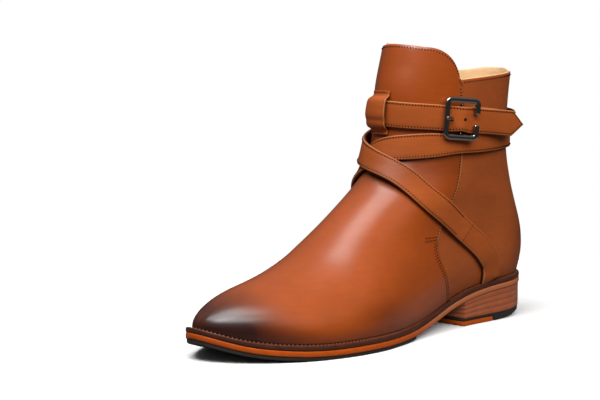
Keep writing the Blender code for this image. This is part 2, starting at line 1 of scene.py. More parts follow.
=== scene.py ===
"""Looks of a left strapped ankle boot, laid out as a Blender add-on and run as a script.

Sizes are written in millimetres in boot terms: station runs from the back of the heel to the toe, side is
positive on the outer side, height is above the floor. place() turns them into metres in the part's frame.
"""

import math

import bmesh
import bpy
import numpy as np
from bpy.props import FloatProperty, FloatVectorProperty, PointerProperty
from mathutils import Euler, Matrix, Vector


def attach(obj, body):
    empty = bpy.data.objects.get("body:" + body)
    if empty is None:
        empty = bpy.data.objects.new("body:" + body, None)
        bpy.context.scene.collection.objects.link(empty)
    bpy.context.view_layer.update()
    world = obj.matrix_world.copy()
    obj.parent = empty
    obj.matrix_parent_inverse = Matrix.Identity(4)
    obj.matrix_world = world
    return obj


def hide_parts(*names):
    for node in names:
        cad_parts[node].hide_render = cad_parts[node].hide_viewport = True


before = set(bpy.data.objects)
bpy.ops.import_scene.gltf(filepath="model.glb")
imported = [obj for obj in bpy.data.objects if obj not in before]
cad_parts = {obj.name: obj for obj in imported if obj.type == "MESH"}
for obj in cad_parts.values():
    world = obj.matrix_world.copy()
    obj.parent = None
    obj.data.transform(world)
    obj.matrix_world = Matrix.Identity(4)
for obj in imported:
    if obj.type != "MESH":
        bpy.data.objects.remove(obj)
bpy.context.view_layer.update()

bl_info = {
    "name": "Strapped ankle boot",
    "version": (1, 0, 0),
    "blender": (4, 5, 0),
    "location": "View3D > Sidebar > Boot",
    "description": "Dresses the solids of a left ankle boot: leathers, lining, stitches, sole edges, buckle",
    "category": "Object",
}

MM = 0.001

SOLE_LENGTH = 303.0
ORIGIN_STATION = 150.8
ORIGIN_SIDE = 2.9

WALL = 2.2
VAMP_STEP = 1.2
QUARTER_THICK = 1.1
SEAT = 0.3
UPPER_SEAT = 0.45

SHAFT_TURN = 4.0
SHAFT_BACK = 12.0
SHAFT_LENGTH = 118.0
INSTEP = 140.0
INSTEP_SLOPE = 0.95
TOE_POWER = 2.15

# Where the foot gives way to the shaft: rise of its swell above the welt, heights of width, round and keel.
SWELL_RISE = (-4.0, 22.0)
SHAFT_WIDENS = (62.0, 135.0)
SHAFT_ROUNDS = (60.0, 106.0)
SHAFT_STRAIGHTENS = (80.0, 150.0)

TAB_ROUND = 18.5
TAB_FALL = 1.8

WELT_THICK = 3.6
LEATHER_THICK = 3.7
FOREFOOT_THICK = 2.6
INSOLE_THICK = 3.0
WELT_REACH = 13.0

HEEL_ROUND = 37.0
TOE_START = 246.0
BREAST = 82.8
HEEL_LAYER = 1.9
HEEL_RISE = 3.0
HEEL_PIECE = 3.6
HEEL_SPLIT = 48.0
HEEL_BEVEL = 6.0
FOREFOOT_BACK = 146.0

STRAP_THICK = 2.5
POINT_LENGTH = 10.0
OVER = STRAP_THICK + 0.9
CLEAR = 0.45
FLUSH = CLEAR - VAMP_STEP

LOOP_AROUND = 187.3
LOOP_WIDTH = 17.2
LOOP_THICK = 1.6

BUCKLE_AROUND = 112.8
BUCKLE_HEIGHT = 148.0
BUCKLE_LENGTH = 26.4
BUCKLE_TALL = 30.0
BUCKLE_BAR = 4.0
BUCKLE_THICK = 3.2
BUCKLE_LEVEL = 6.15
BUCKLE_TILT = 0.15
BUCKLE_GAP = 7.8
BUCKLE_CORNER = 5.0
PIN_RADIUS = 0.9
PIN_LEVEL = 2.9

# Plan of the sole: station, line of the keel, half width of the outer side, of the inner side.
PLAN = (
    (0.0, 0.0, 32.6, 32.6),
    (40.0, -0.3, 32.7, 31.9),
    (75.0, -1.4, 34.6, 29.1),
    (115.0, -3.4, 41.3, 26.1),
    (150.0, -4.8, 51.6, 32.7),
    (185.0, -5.4, 60.7, 42.5),
    (215.0, -5.8, 61.3, 44.7),
    (245.0, -6.0, 54.8, 40.6),
    (272.0, -6.0, 44.7, 31.4),
    (303.0, -6.0, 35.0, 23.4),
)

# Underside of the leather sole: station, height.
UNDERSIDE = (
    (0.0, 24.6),
    (40.0, 22.8),
    (78.0, 18.5),
    (100.0, 13.5),
    (122.0, 7.4),
    (142.0, 3.8),
    (160.0, 2.65),
    (200.0, 2.5),
    (235.0, 2.5),
    (262.0, 4.3),
    (285.0, 8.3),
    (303.0, 15.0),
)

# Upper over the foot: station, margin of the welt, swell of the outer and of the inner side, roundness.
BODY = (
    (0.0, 2.5, 2.0, 2.0, 2.2),
    (60.0, 2.8, 2.5, 2.5, 2.2),
    (110.0, 3.0, 4.0, 7.0, 2.0),
    (150.0, 3.6, 2.5, 4.5, 1.9),
    (190.0, 4.2, 1.2, 2.0, 1.9),
    (225.0, 4.6, 0.8, 1.0, 2.1),
    (260.0, 5.2, 0.6, 0.6, 2.4),
    (303.0, 6.0, 0.4, 0.4, 2.6),
)

# Top line of the foot and front of the shaft in side view, from the toe up: station, height.
RIDGE = (
    (296.7, 21.0),
    (295.2, 25.6),
    (290.4, 30.0),
    (281.5, 34.7),
    (263.8, 40.2),
    (237.2, 46.0),
    (208.3, 57.3),
    (181.0, 75.6),
    (156.2, 93.4),
    (137.6, 109.6),
    (129.4, 126.5),
    (126.6, 146.5),
    (125.4, 166.0),
    (121.4, 183.0),
    (116.8, 198.6),
)

# Back line in side view, from the welt up: station, height.
BACK = (
    (1.9, 32.3),
    (-0.2, 40.0),
    (-1.5, 52.0),
    (0.1, 68.0),
    (5.6, 88.0),
    (12.2, 108.0),
    (15.6, 125.0),
    (15.5, 145.0),
    (13.6, 165.0),
    (12.0, 178.7),
)

# Shaft: height, half widths of the outer and inner side, length of the rounded front.
SHAFT = (
    (60.0, 37.0, 36.0, 76.0),
    (85.0, 37.3, 36.3, 68.0),
    (110.0, 37.4, 36.5, 60.0),
    (135.0, 37.0, 36.5, 56.0),
    (165.0, 37.0, 36.5, 56.0),
    (205.0, 37.5, 37.0, 54.0),
)

# Edge of the vamp over the quarter in side view, from the welt up: station, height.
VAMP_EDGE = (
    (99.6, 25.0),
    (105.0, 38.0),
    (112.5, 51.0),
    (116.6, 61.0),
    (113.6, 71.5),
    (102.8, 89.0),
    (94.6, 103.0),
    (90.0, 119.0),
    (88.3, 140.0),
    (88.6, 160.0),
    (90.4, 174.2),
)

# Collar of the quarter in side view, from the back to the vamp: station, height.
COLLAR = (
    (12.0, 178.7),
    (40.0, 177.5),
    (68.0, 175.9),
    (90.4, 174.2),
)

# Outer strap, from the outer welt: degrees around from the back, height, lift off the vamp, half width.
OUTER_STRAP = (
    (50.0, 28.2, -2.7, 8.8),
    (50.8, 31.4, FLUSH, 8.8),
    (52.6, 37.0, FLUSH, 8.8),
    (63.0, 49.5, FLUSH, 8.8),
    (74.4, 60.2, FLUSH, 8.8),
    (88.0, 71.2, -0.2, 8.8),
    (106.6, 84.7, CLEAR, 8.8),
    (130.0, 97.1, 0.8, 8.8),
    (152.0, 107.5, 3.0, 8.8),
    (174.0, 114.4, 4.0, 8.8),
    (200.0, 120.8, 4.0, 8.8),
    (235.0, 128.0, OVER, 8.8),
    (270.0, 134.0, OVER, 8.8),
    (300.0, 139.0, 2.8, 8.6),
    (328.0, 142.8, 2.4, 8.2),
    (345.0, 144.4, 2.2, 7.9),
    (362.0, 145.0, 2.1, 7.6),
    (382.0, 144.6, 2.2, 7.2),
    (412.0, 144.2, 2.4, 6.6),
    (428.0, 145.6, 2.5, 6.5),
    (440.0, 147.3, 1.5, 6.7),
    (450.0, 148.3, 0.6, 6.8),
    (460.0, 149.0, CLEAR, 7.0),
    (469.8, 149.2, CLEAR, 7.0),
)

# Inner strap, from the inner welt; its foot mirrors the outer strap's.
INNER_STRAP = (
    *((360.0 - around, *rest) for around, *rest in OUTER_STRAP[:5]),
    (272.0, 71.8, -0.2, 8.8),
    (253.4, 86.0, 0.6, 8.8),
    (230.0, 100.0, 0.9, 8.8),
    (210.0, 111.0, 0.9, 8.9),
    (192.0, 119.5, 0.9, 9.0),
    (175.0, 125.2, 0.7, 9.0),
    (155.0, 127.9, CLEAR, 9.1),
    (127.0, 129.8, CLEAR, 8.2),
    (112.8, 130.4, CLEAR, 7.0),
    (97.0, 131.4, CLEAR, 7.5),
    (75.0, 132.0, -0.4, 7.6),
    (50.0, 132.4, FLUSH, 7.5),
    (10.0, 132.6, FLUSH, 7.4),
    (-12.0, 133.0, FLUSH, 7.6),
    (-32.0, 134.4, FLUSH, 7.9),
    (-65.0, 138.2, FLUSH, 8.6),
    (-90.0, 141.6, CLEAR, 8.8),
    (-115.0, 145.2, CLEAR, 8.9),
    (-150.0, 149.6, CLEAR, 9.0),
    (-180.0, 151.2, CLEAR, 9.0),
    (-198.0, 150.6, CLEAR, 9.0),
    (-216.0, 149.8, CLEAR, 9.0),
    (-233.0, 148.8, CLEAR, 9.0),
    (-239.5, 148.2, 1.6, 9.0),
    (-244.5, 148.0, 4.2, 8.7),
    (-248.3, 147.7, 5.2, 8.5),
    (-253.3, 147.0, 4.2, 9.0),
    (-262.0, 146.2, 3.6, 9.0),
    (-284.0, 144.2, 5.5, 9.1),
    (-304.0, 142.2, 11.2, 9.1),
)

# Front loop, from its lower end up: height, lift off the tab.
LOOP = (
    (136.4, CLEAR),
    (139.2, CLEAR + 0.1),
    (141.0, 3.3),
    (144.2, 4.9),
    (146.2, 5.0),
    (148.4, 5.65),
    (152.0, 5.8),
    (156.8, 5.2),
    (161.4, 3.3),
    (163.4, CLEAR + 0.1),
    (166.6, CLEAR),
)

# Centre bar of the buckle, dropped between its ends: distance up from the middle, rise above its level.
PIN = (
    (-10.65, 3.0),
    (-10.05, 2.75),
    (-9.75, 1.5),
    (-9.1, 0.35),
    (-8.0, 0.0),
    (8.0, 0.0),
    (9.1, 0.35),
    (9.75, 1.5),
    (10.05, 2.75),
    (10.65, 3.0),
)

# Prong in the plane across the buckle: distance along the strap, level above the vamp.
PRONG = (
    (-1.4, 2.7),
    (-4.0, 2.0),
    (-6.2, 3.9),
    (-7.8, 6.8),
    (-9.2, 8.5),
    (-10.6, 9.3),
    (-12.6, 9.35),
)

# Rolled edge of a leather sheet: reach beyond its line, share of the thickness outside, share inside.
ROLLED_EDGE = (
    (0.55, 0.50, 0.50),
    (0.50, 0.72, 0.22),
    (0.30, 0.92, 0.06),
)

# Rolled top of a leather wall: rise, share of the way from the outside to the inside.
ROLLED_TOP = (
    (0.25, 0.10),
    (0.45, 0.30),
    (0.52, 0.50),
    (0.45, 0.70),
    (0.25, 0.90),
)

# Stitch along its length: place along it, share of its thickness, sink of its middle.
STITCH = (
    (-0.50, 0.45, 0.75),
    (-0.28, 0.95, 0.15),
    (0.28, 0.95, 0.15),
    (0.50, 0.45, 0.75),
)


def linear(code):
    """Linear red, green and blue of an sRGB hex colour."""
    values = [int(code[i : i + 2], 16) / 255 for i in (1, 3, 5)]
    return [v / 12.92 if v <= 0.04045 else ((v + 0.055) / 1.055) ** 2.4 for v in values]


def colour_prop(name, description, code):
    """A colour in the panel, from its sRGB hex value."""
    return FloatVectorProperty(
        name=name, description=description, default=linear(code), subtype="COLOR", size=3, min=0.0, max=1.0
    )


def length_prop(name, description, size_mm):
    """A length in the panel, from its millimetres."""
    return FloatProperty(name=name, description=description, default=size_mm * MM, unit="LENGTH")


def power_prop(name, spot, watts):
    """The power of a softbox in the panel."""
    return FloatProperty(name=name, description=f"Power of the softbox {spot}", default=watts, unit="POWER")


class BootColours(bpy.types.PropertyGroup):
    """Colours of the leathers, threads, rubber and metal."""

    calf: colour_prop("Calf", "Polished vamp leather", "#95410e")
    # Deep colour: wax burnish round the toe, and painted shade at the heel's back, along the welt, on and
    # under the straps and in the tail's holes.
    burnish: colour_prop("Burnish", "Wax burnish on toe, heel and feather line", "#2a0c05")
    quarter: colour_prop("Quarter", "Plainer leather of the quarters", "#964a22")
    strap: colour_prop("Strap", "Leather of straps and loop", "#9f4e21")
    lining: colour_prop("Lining", "Undyed lining leather", "#e2ba8b")
    edge: colour_prop("Edge", "Bare leather of cut edges", "#b0764a")
    thread: colour_prop("Thread", "Sewing thread of upper and straps", "#240c04")
    welt: colour_prop("Welt", "Stained welt", "#4a271a")
    welt_thread: colour_prop("Welt thread", "Waxed thread on the welt", "#7d4530")
    sole: colour_prop("Sole", "Dyed edge of the leather sole", "#b84f10")
    sole_rear: colour_prop("Sole behind", "Plainer edge of the leather sole from the waist back", "#a8613e")
    stack: colour_prop("Heel stack", "Stained heel lifts", "#9e5637")
    rubber: colour_prop("Rubber", "Forefoot and heel rubber", "#2b2624")
    metal: colour_prop("Buckle", "Dark nickel plating", "#a6a09c")


class BootSizes(bpy.types.PropertyGroup):
    """Sizes of the sewing."""

    stitch_pitch: length_prop("Stitch pitch", "Distance from stitch to stitch", 2.1)
    stitch_width: length_prop("Thread", "Thickness of the sewing thread", 1.35)
    stitch_margin: length_prop("Stitch margin", "From an edge to its row of stitches", 1.5)
    welt_pitch: length_prop("Welt pitch", "Distance from stitch to stitch on the welt", 2.8)
    welt_thread: length_prop("Welt thread", "Thickness of the thread on the welt", 1.3)


class BootStage(bpy.types.PropertyGroup):
    """Camera and light."""

    azimuth: FloatProperty(name="Azimuth", description="Camera round from the toe, degrees", default=44.23)
    elevation: FloatProperty(name="Elevation", description="Camera above the horizon, degrees", default=6.95)
    distance: FloatProperty(name="Distance", description="Camera to the instep", default=1.173, unit="LENGTH")
    top_light: power_prop("Top light", "overhead", 20.0)
    side_light: power_prop("Side light", "at the outer side", 42.0)
    front_light: power_prop("Front light", "before the toe", 10.5)
    surround: FloatProperty(name="Surround", description="Brightness of the room overhead", default=0.3)


def place(station, side, height):
    """Points in metres for boot terms in millimetres."""
    return np.stack([side - ORIGIN_SIDE, ORIGIN_STATION - station, height], axis=-1) * MM


def spline(knots, values):
    """A natural cubic curve through the rows, held level beyond its ends."""
    x = np.asarray(knots, float)
    y = np.asarray(values, float)
    n = len(x)
    h = np.diff(x)
    matrix = np.eye(n)
    right = np.zeros(n)
    for i in range(1, n - 1):
        matrix[i, i - 1 : i + 2] = h[i - 1], 2 * (h[i - 1] + h[i]), h[i]
        right[i] = 6 * ((y[i + 1] - y[i]) / h[i] - (y[i] - y[i - 1]) / h[i - 1])
    bend = np.linalg.solve(matrix, right)

    def at(t):
        t = np.clip(t, x[0], x[-1])
        k = np.clip(np.searchsorted(x, t) - 1, 0, n - 2)
        a = (x[k + 1] - t) / h[k]
        b = 1 - a
        curve = ((a**3 - a) * bend[k] + (b**3 - b) * bend[k + 1]) * h[k] ** 2 / 6
        return a * y[k] + b * y[k + 1] + curve

    return at


def distance_along(points):
    """Distance along a row of points to each of them."""
    return np.concatenate([[0], np.cumsum(np.linalg.norm(np.diff(points, axis=0), axis=1))])


def read_off(where, steps, table):
    """The columns of a table at places between its steps."""
    return np.stack([np.interp(where, steps, column) for column in table.T], axis=-1)


def line(rows, samples=600):
    """A side-view curve through the rows, as evenly spaced points along its length."""
    rows = np.asarray(rows, float)
    chord = distance_along(rows)
    dense = np.linspace(0, chord[-1], samples)
    points = np.stack([spline(chord, column)(dense) for column in rows.T], axis=1)
    run = distance_along(points)
    return read_off(np.linspace(0, run[-1], samples), run, points)


def along(points, share):
    """The point a given share of the way along a curve."""
    return read_off(share, np.linspace(0, 1, len(points)), points)


def ease(low, high, value):
    """A smooth change from 0 to 1 between two values."""
    t = np.clip((value - low) / (high - low), 0, 1)
    return t * t * (3 - 2 * t)


def columns(table):
    """A curve for each column of a table after its first."""
    rows = np.asarray(table, float)
    return [spline(rows[:, 0], column) for column in rows.T[1:]]


def unit(vectors):
    """Vectors brought to a length of one."""
    return vectors / np.maximum(np.linalg.norm(vectors, axis=-1, keepdims=True), 1e-9)


KEEL, PLAN_OUTER, PLAN_INNER = columns(PLAN)
(UNDER,) = columns(UNDERSIDE)
MARGIN, SWELL_OUTER, SWELL_INNER, ROUNDNESS = columns(BODY)
SHAFT_OUTER, SHAFT_INNER, SHAFT_BOW = columns(SHAFT)
RIDGE_LINE = line(RIDGE)
BACK_LINE = line(BACK)
EDGE_LINE = line(VAMP_EDGE)
COLLAR_LINE = line(COLLAR)


def feather(station):
    """Height of the seam where the upper stands on the welt."""
    return UNDER(station) + LEATHER_THICK + WELT_THICK + UPPER_SEAT


def ridge_station(height):
    """Station of the top line and the shaft's front at a height."""
    return np.interp(height, RIDGE_LINE[:, 1], RIDGE_LINE[:, 0])


def ridge_height(station):
    """Height of the foot's top line; behind the instep it goes on rising at the instep's slope."""
    inside = np.interp(-station, -RIDGE_LINE[:, 0], RIDGE_LINE[:, 1])
    start = np.interp(-INSTEP, -RIDGE_LINE[:, 0], RIDGE_LINE[:, 1])
    return np.where(station < INSTEP, start + INSTEP_SLOPE * (INSTEP - station), inside)


def back_station(height):
    """Station of the back line at a height."""
    return np.interp(height, BACK_LINE[:, 1], BACK_LINE[:, 0])


def toe_round(station, inset):
    """Share of the width that the round of the toe leaves."""
    reach = np.clip((station - TOE_START) / (SOLE_LENGTH - inset - TOE_START), 0, 1)
    return np.sqrt(np.clip(1 - reach**TOE_POWER, 0, 1))


def plan_half(outer, station, inset=0.0):
    """Half width of the sole's plan on one side, moved in by an inset."""
    width = (PLAN_OUTER if outer else PLAN_INNER)(station) - inset
    reach = np.clip((HEEL_ROUND - station) / (HEEL_ROUND - inset), 0, 1)
    return width * np.sqrt(np.clip(1 - reach**2, 0, 1)) * toe_round(station, inset)


def upper_half(outer, station, height):
    """Half width of the upper on one side at a point of the side view."""
    low = feather(station)
    rise = height - low
    margin = MARGIN(station)
    sole = (PLAN_OUTER if outer else PLAN_INNER)(station) - margin
    swell = (SWELL_OUTER if outer else SWELL_INNER)(station)
    foot = (sole + swell * ease(*SWELL_RISE, rise)) * toe_round(station, margin)
    shaft = (SHAFT_OUTER if outer else SHAFT_INNER)(height)
    high = ease(*SHAFT_WIDENS, height)
    width = foot * (1 - high) + shaft * high
    back = back_station(height)
    front = ridge_station(height)
    share = np.clip(rise / np.maximum(ridge_height(station) - low, 1), 0, 1)
    dome = 1 - share ** ROUNDNESS(station)
    half = (front - back) / 2
    bow = 1 - (1 - np.clip((front - station) / SHAFT_BOW(height), 0, 1)) ** 2
    turn = ease(*SHAFT_ROUNDS, height)
    fore = dome * (1 - turn) + bow * turn
    reach = (HEEL_ROUND - MARGIN(0.0)) * (1 - high) + half * high
    aft = 1 - (1 - np.clip((station - back) / reach, 0, 1)) ** 2
    return width * np.sqrt(np.clip(fore * aft, 0, 1))


def keel(station, height):
    """The line that parts the outer side from the inner; up the shaft it runs straight from back to front."""
    high = ease(*SHAFT_STRAIGHTENS, height)
    turned = SHAFT_TURN * np.clip((station - SHAFT_BACK) / SHAFT_LENGTH, 0, 1)
    return KEEL(station) * (1 - high) - turned * high


def surface(around, height):
    """A point of the upper's outer skin, by degrees around from the back and height."""
    turn = np.radians(around)
    back = back_station(height)
    station = back + (ridge_station(height) - back) * (1 - np.cos(turn)) / 2
    outer = np.sin(turn) >= 0
    half = np.where(outer, upper_half(True, station, height), -upper_half(False, station, height))
    return np.stack([station, keel(station, height) + half, height + 0 * station], axis=-1)


def slopes(around, height):
    """Change of the skin per degree and per millimetre of height, and its outward normal."""
    across = surface(around + 0.5, height) - surface(around - 0.5, height)
    up = surface(around, height + 0.5) - surface(around, height - 0.5)
    return across, up, -unit(np.cross(across, up))


def walk(around, height, move):
    """Where a step along the skin leads, taken in four parts."""
    for part in range(4):
        across, up, normal = slopes(around, height)
        aa = np.sum(across * across, axis=-1)
        au = np.sum(across * up, axis=-1)
        uu = np.sum(up * up, axis=-1)
        ma = np.sum(move * across, axis=-1) / 4
        mu = np.sum(move * up, axis=-1) / 4
        scale = aa * uu - au * au
        around = around + (ma * uu - mu * au) / scale
        height = height + (mu * aa - ma * au) / scale
    return around, height


def patch(bottom, top, left, right, across, up):
    """A side-view net between four curves."""
    a = across[None, :, None]
    v = up[:, None, None]
    b0 = along(bottom, across)[None]
    t0 = along(top, across)[None]
    l0 = left[:, None]
    r0 = right[:, None]
    corners = (1 - v) * ((1 - a) * b0[:, :1] + a * b0[:, -1:]) + v * ((1 - a) * t0[:, :1] + a * t0[:, -1:])
    return (1 - v) * b0 + v * t0 + (1 - a) * l0 + a * r0 - corners


def seam_line(start, end, samples=300):
    """The seam at the welt in side view, between two stations."""
    station = np.linspace(start, end, samples)
    return np.stack([station, feather(station)], axis=1)


def tab_line():
    """Top edge of the tab: a round corner rising from the vamp's edge, then nearly level to the front."""
    foot = EDGE_LINE[-1]
    front = RIDGE_LINE[-1]
    turn = np.linspace(0, math.pi / 2, 40)
    rise = front[1] - TAB_FALL - foot[1]
    corner = np.stack([foot[0] + TAB_ROUND * (1 - np.cos(turn)), foot[1] + rise * np.sin(turn)], axis=1)
    level = np.linspace(corner[-1], front, 30)[1:]
    return np.concatenate([corner, level])


def footed(curve, fade):
    """A side-view curve with its foot moved onto the seam at the welt."""
    share = (1 - np.linspace(0, 1, len(curve))) ** fade
    drop = feather(curve[0, 0]) - curve[0, 1]
    return np.stack([curve[:, 0], curve[:, 1] + drop * share], axis=1)


# Net of the skin: powers that crowd its rows at the welt, turns of its columns over quarter and vamp.
EDGE_CROWD = 1.1
RIDGE_CROWD = 1.4
QUARTER_TURN = 1.15
VAMP_TURN = (0.27 * math.pi / 2, math.pi / 2)


def upper_net(rows, quarter, vamp):
    """Rings of the upper's skin, from the welt to the top, each from the back round by the outer side."""
    up = np.linspace(0, 1, rows + 1)
    back = footed(BACK_LINE, 1)
    edge = footed(EDGE_LINE, 1)
    ridge = footed(RIDGE_LINE, 6)
    back_rows = along(back, up)
    edge_rows = along(edge, up**EDGE_CROWD)
    ridge_rows = along(ridge, up**RIDGE_CROWD)
    to_edge = (1 - np.cos(np.linspace(0, QUARTER_TURN, quarter + 1))) / (1 - math.cos(QUARTER_TURN))
    to_ridge = np.sin(np.linspace(*VAMP_TURN, vamp + 1))
    to_ridge = (to_ridge - to_ridge[0]) / (1 - to_ridge[0])
    behind = patch(seam_line(back[0, 0], edge[0, 0]), COLLAR_LINE, back_rows, edge_rows, to_edge, up)
    ahead = patch(seam_line(edge[0, 0], ridge[0, 0]), tab_line(), edge_rows, ridge_rows, to_ridge, up)
    side_view = np.concatenate([behind, ahead[:, 1:]], axis=1)
    station = side_view[..., 0]
    height = side_view[..., 1]
    middle = keel(station, height)
    halves = []
    for outer in (True, False):
        half = upper_half(outer, station, height)
        half[:, [0, -1]] = 0
        halves.append(half)
    near = np.stack([station, middle + halves[0], height], axis=-1)
    far = np.stack([station, middle - halves[1], height], axis=-1)
    return np.concatenate([near, far[:, -2:0:-1]], axis=1)


def net_normals(net):
    """Outward normals of a closed net of rings."""
    round_about = np.roll(net, -1, axis=1) - np.roll(net, 1, axis=1)
    return -unit(np.cross(round_about, np.gradient(net, axis=0)))


def off_skin(around, height, lift=0.0):
    """Points lifted off the vamp's face, and their outward normals."""
    out = slopes(around, height)[2]
    return surface(around, height) + out * np.reshape(VAMP_STEP + lift, (-1, 1)), out


def strap_frame(rows, spacing):
    """Even steps along a strap: around, height, lift, half width, distance and the direction across it."""
    rows = np.asarray(rows, float)
    chord = distance_along(surface(rows[:, 0], rows[:, 1]))
    dense = np.linspace(0, chord[-1], 800)
    dense_rows = np.stack([spline(chord, column)(dense) for column in rows.T], axis=1)
    run = distance_along(surface(dense_rows[:, 0], dense_rows[:, 1]))
    distance = np.linspace(0, run[-1], int(run[-1] / spacing) + 1)
    around, height, lift, half = read_off(distance, run, dense_rows).T
    forward = np.gradient(surface(around, height), distance, axis=0)
    normal = slopes(around, height)[2]
    return around, height, lift, half, distance, np.cross(normal, unit(forward))


def sweep(sections, ring):
    """Points and faces of closed sections joined one to the next; an open run gets its two ends filled."""
    count, size = sections.shape[:2]
    here = np.arange(size)
    there = (here + 1) % size
    faces = []
    for low in range(0, (count if ring else count - 1) * size, size):
        high = (low + size) % (count * size)
        faces += np.stack([low + here, low + there, high + there, high + here], axis=1).tolist()
    if not ring:
        faces += [here.tolist(), ((count - 1) * size + here).tolist()]
    return sections.reshape(-1, 3), faces


def slab(loops):
    """Points and faces of stacked loops, each out by one side and back by the other, both ends filled."""
    levels, size = loops.shape[:2]
    points, faces = sweep(loops, False)
    del faces[-2:]
    for low in (0, (levels - 1) * size):
        for k in range(size // 2 - 1):
            faces.append([low + k, low + k + 1, low + size - 2 - k, low + size - 1 - k])
    return points, faces


def new_object(name, data):
    """An object in the scene."""
    thing = bpy.data.objects.new(name, data)
    bpy.context.scene.collection.objects.link(thing)
    return thing


def piece(name, shape, finish, replaced=(), marks=None):
    """A smooth piece from points in boot terms and faces; marks are named values at its points."""
    points, faces = shape
    mesh = bpy.data.meshes.new(name)
    mesh.from_pydata(place(points[:, 0], points[:, 1], points[:, 2]).tolist(), [], faces)
    for mark, values in (marks or {}).items():
        layer = mesh.attributes.new(mark, "FLOAT", "POINT")
        layer.data.foreach_set("value", np.asarray(values, np.float32).ravel())
    work = bmesh.new()
    work.from_mesh(mesh)
    bmesh.ops.remove_doubles(work, verts=work.verts, dist=0.001 * MM)
    bmesh.ops.recalc_face_normals(work, faces=work.faces)
    for face in work.faces:
        face.smooth = True
    work.to_mesh(mesh)
    work.free()
    mesh.materials.append(finish_of(finish))
    thing = new_object(name, mesh)
    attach(thing, "root")
    if replaced:
        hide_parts(*replaced)


def fill(tree, node, inputs):
    """Set or link the inputs of a node: a socket is linked, anything else is a value."""
    for key, value in inputs.items():
        if isinstance(value, bpy.types.NodeSocket):
            tree.links.new(value, node.inputs[key])
        else:
            node.inputs[key].default_value = value


def add(tree, kind, output, inputs=None, **settings):
    """Add a shader node, set it up, fill its inputs and give one of its outputs."""
    node = tree.nodes.new("ShaderNode" + kind)
    for name, value in settings.items():
        setattr(node, name, value)
    fill(tree, node, inputs or {})
    return node.outputs[output]


def new_material(name):
    """An empty material: its node tree, shader and the coordinates of its object."""
    material = bpy.data.materials.new(name)
    material.use_nodes = True
    tree = material.node_tree
    return material, tree, tree.nodes["Principled BSDF"], add(tree, "TexCoord", "Object")


def opaque(colour, share=1.0):
    """A colour for a socket, made lighter or darker by a share."""
    return (*(min(1.0, c * share) for c in colour), 1.0)


def per_metre(size_mm):
    """Texture scale of a pattern whose features are a given size in millimetres."""
    return 1.0 / (size_mm * MM)


# Sockets of a Mix node set to colours: share, both colours, and its output. Their names are not unique.
SHARE, FIRST, SECOND, MIXED = 0, 6, 7, 2


def calf_leather(name, body, deep, edge, roughness, coat, grain_mm):
    """Full-grain calf, aniline dyed and hand polished with wax: clear depth, dark where waxed and where shade
    is painted, fine pores.

    Real pores are about 0.4 mm apart; they are drawn coarser, to show. The brush leaves level streaks.
    """
    material, tree, shader, where = new_material(name)
    level = add(tree, "Mapping", "Vector", {"Vector": where, "Scale": (0.2, 0.2, 1.0)})
    brush = add(tree, "TexNoise", "Fac", {"Vector": level, "Scale": per_metre(2.0), "Detail": 3.0})
    cloud = add(tree, "TexNoise", "Fac", {"Vector": where, "Scale": per_metre(24), "Detail": 4.0})
    pores = add(tree, "TexNoise", "Fac", {"Vector": where, "Scale": per_metre(grain_mm), "Detail": 2.0})
    # Share of the deep colour: wax, and painted shade where the pieces mark it.
    wax_and_shade = add(tree, "Attribute", "Fac", attribute_name="burnish")
    rim = add(tree, "Attribute", "Fac", attribute_name="edge")
    mottle = add(tree, "Math", 0, {0: cloud, 1: brush}, operation="MULTIPLY")
    lively = add(tree, "MapRange", 0, {0: mottle, 1: 0.14, 2: 0.38})
    tones = {SHARE: lively, FIRST: opaque(body, 0.93), SECOND: opaque(body, 1.06)}
    dyed = add(tree, "Mix", MIXED, tones, data_type="RGBA")
    uneven = add(tree, "MapRange", 0, {0: cloud, 1: 0.3, 2: 0.7, 3: 0.85, 4: 1.15})
    laid = add(tree, "Math", 0, {0: wax_and_shade, 1: uneven}, operation="MULTIPLY", use_clamp=True)
    waxed_and_shaded = add(tree, "Mix", MIXED, {SHARE: laid, FIRST: dyed, SECOND: opaque(deep)}, data_type="RGBA")
    bare = add(tree, "Mix", MIXED, {SHARE: rim, FIRST: waxed_and_shaded, SECOND: opaque(edge)}, data_type="RGBA")
    gloss = add(tree, "MapRange", 0, {0: pores, 1: 0.3, 2: 0.7, 3: roughness - 0.04, 4: roughness + 0.05})
    bump = add(tree, "Bump", 0, {"Height": pores, "Strength": 0.1, "Distance": 0.2 * MM})
    fill(tree, shader, {"Base Color": bare, "Roughness": gloss, "Normal": bump, "IOR": 1.5})
    fill(tree, shader, {"Specular IOR Level": 0.16, "Coat Weight": coat, "Coat Roughness": 0.28})
    return material


def plain_leather(name, body, light, dark, roughness, streak_mm, bump_mm, undyed=None):
    """Vegetable-tanned leather, cut, stained and waxed: fibres show as fine streaks along the cut."""
    material, tree, shader, where = new_material(name)
    drawn = add(tree, "Mapping", "Vector", {"Vector": where, "Scale": (0.25, 0.25, 1.0)})
    streaks = add(tree, "TexNoise", "Fac", {"Vector": drawn, "Scale": per_metre(streak_mm), "Detail": 4.0})
    cloud = add(tree, "TexNoise", "Fac", {"Vector": where, "Scale": per_metre(9), "Detail": 3.0})
    both = add(tree, "Math", 0, {0: streaks, 1: cloud}, operation="MULTIPLY")
    share = add(tree, "MapRange", 0, {0: both, 1: 0.12, 2: 0.42})
    tones = {SHARE: share, FIRST: opaque(body, dark), SECOND: opaque(body, light)}
    colour = add(tree, "Mix", MIXED, tones, data_type="RGBA")
    if undyed:
        plain = add(tree, "Attribute", "Fac", attribute_name="undyed")
        tones = {SHARE: plain, FIRST: colour, SECOND: opaque(undyed)}
        colour = add(tree, "Mix", MIXED, tones, data_type="RGBA")
    bump = add(tree, "Bump", 0, {"Height": streaks, "Strength": 0.3, "Distance": bump_mm * MM})
    fill(tree, shader, {"Base Color": colour, "Roughness": roughness, "Normal": bump})
    fill(tree, shader, {"IOR": 1.5, "Specular IOR Level": 0.25})
    return material


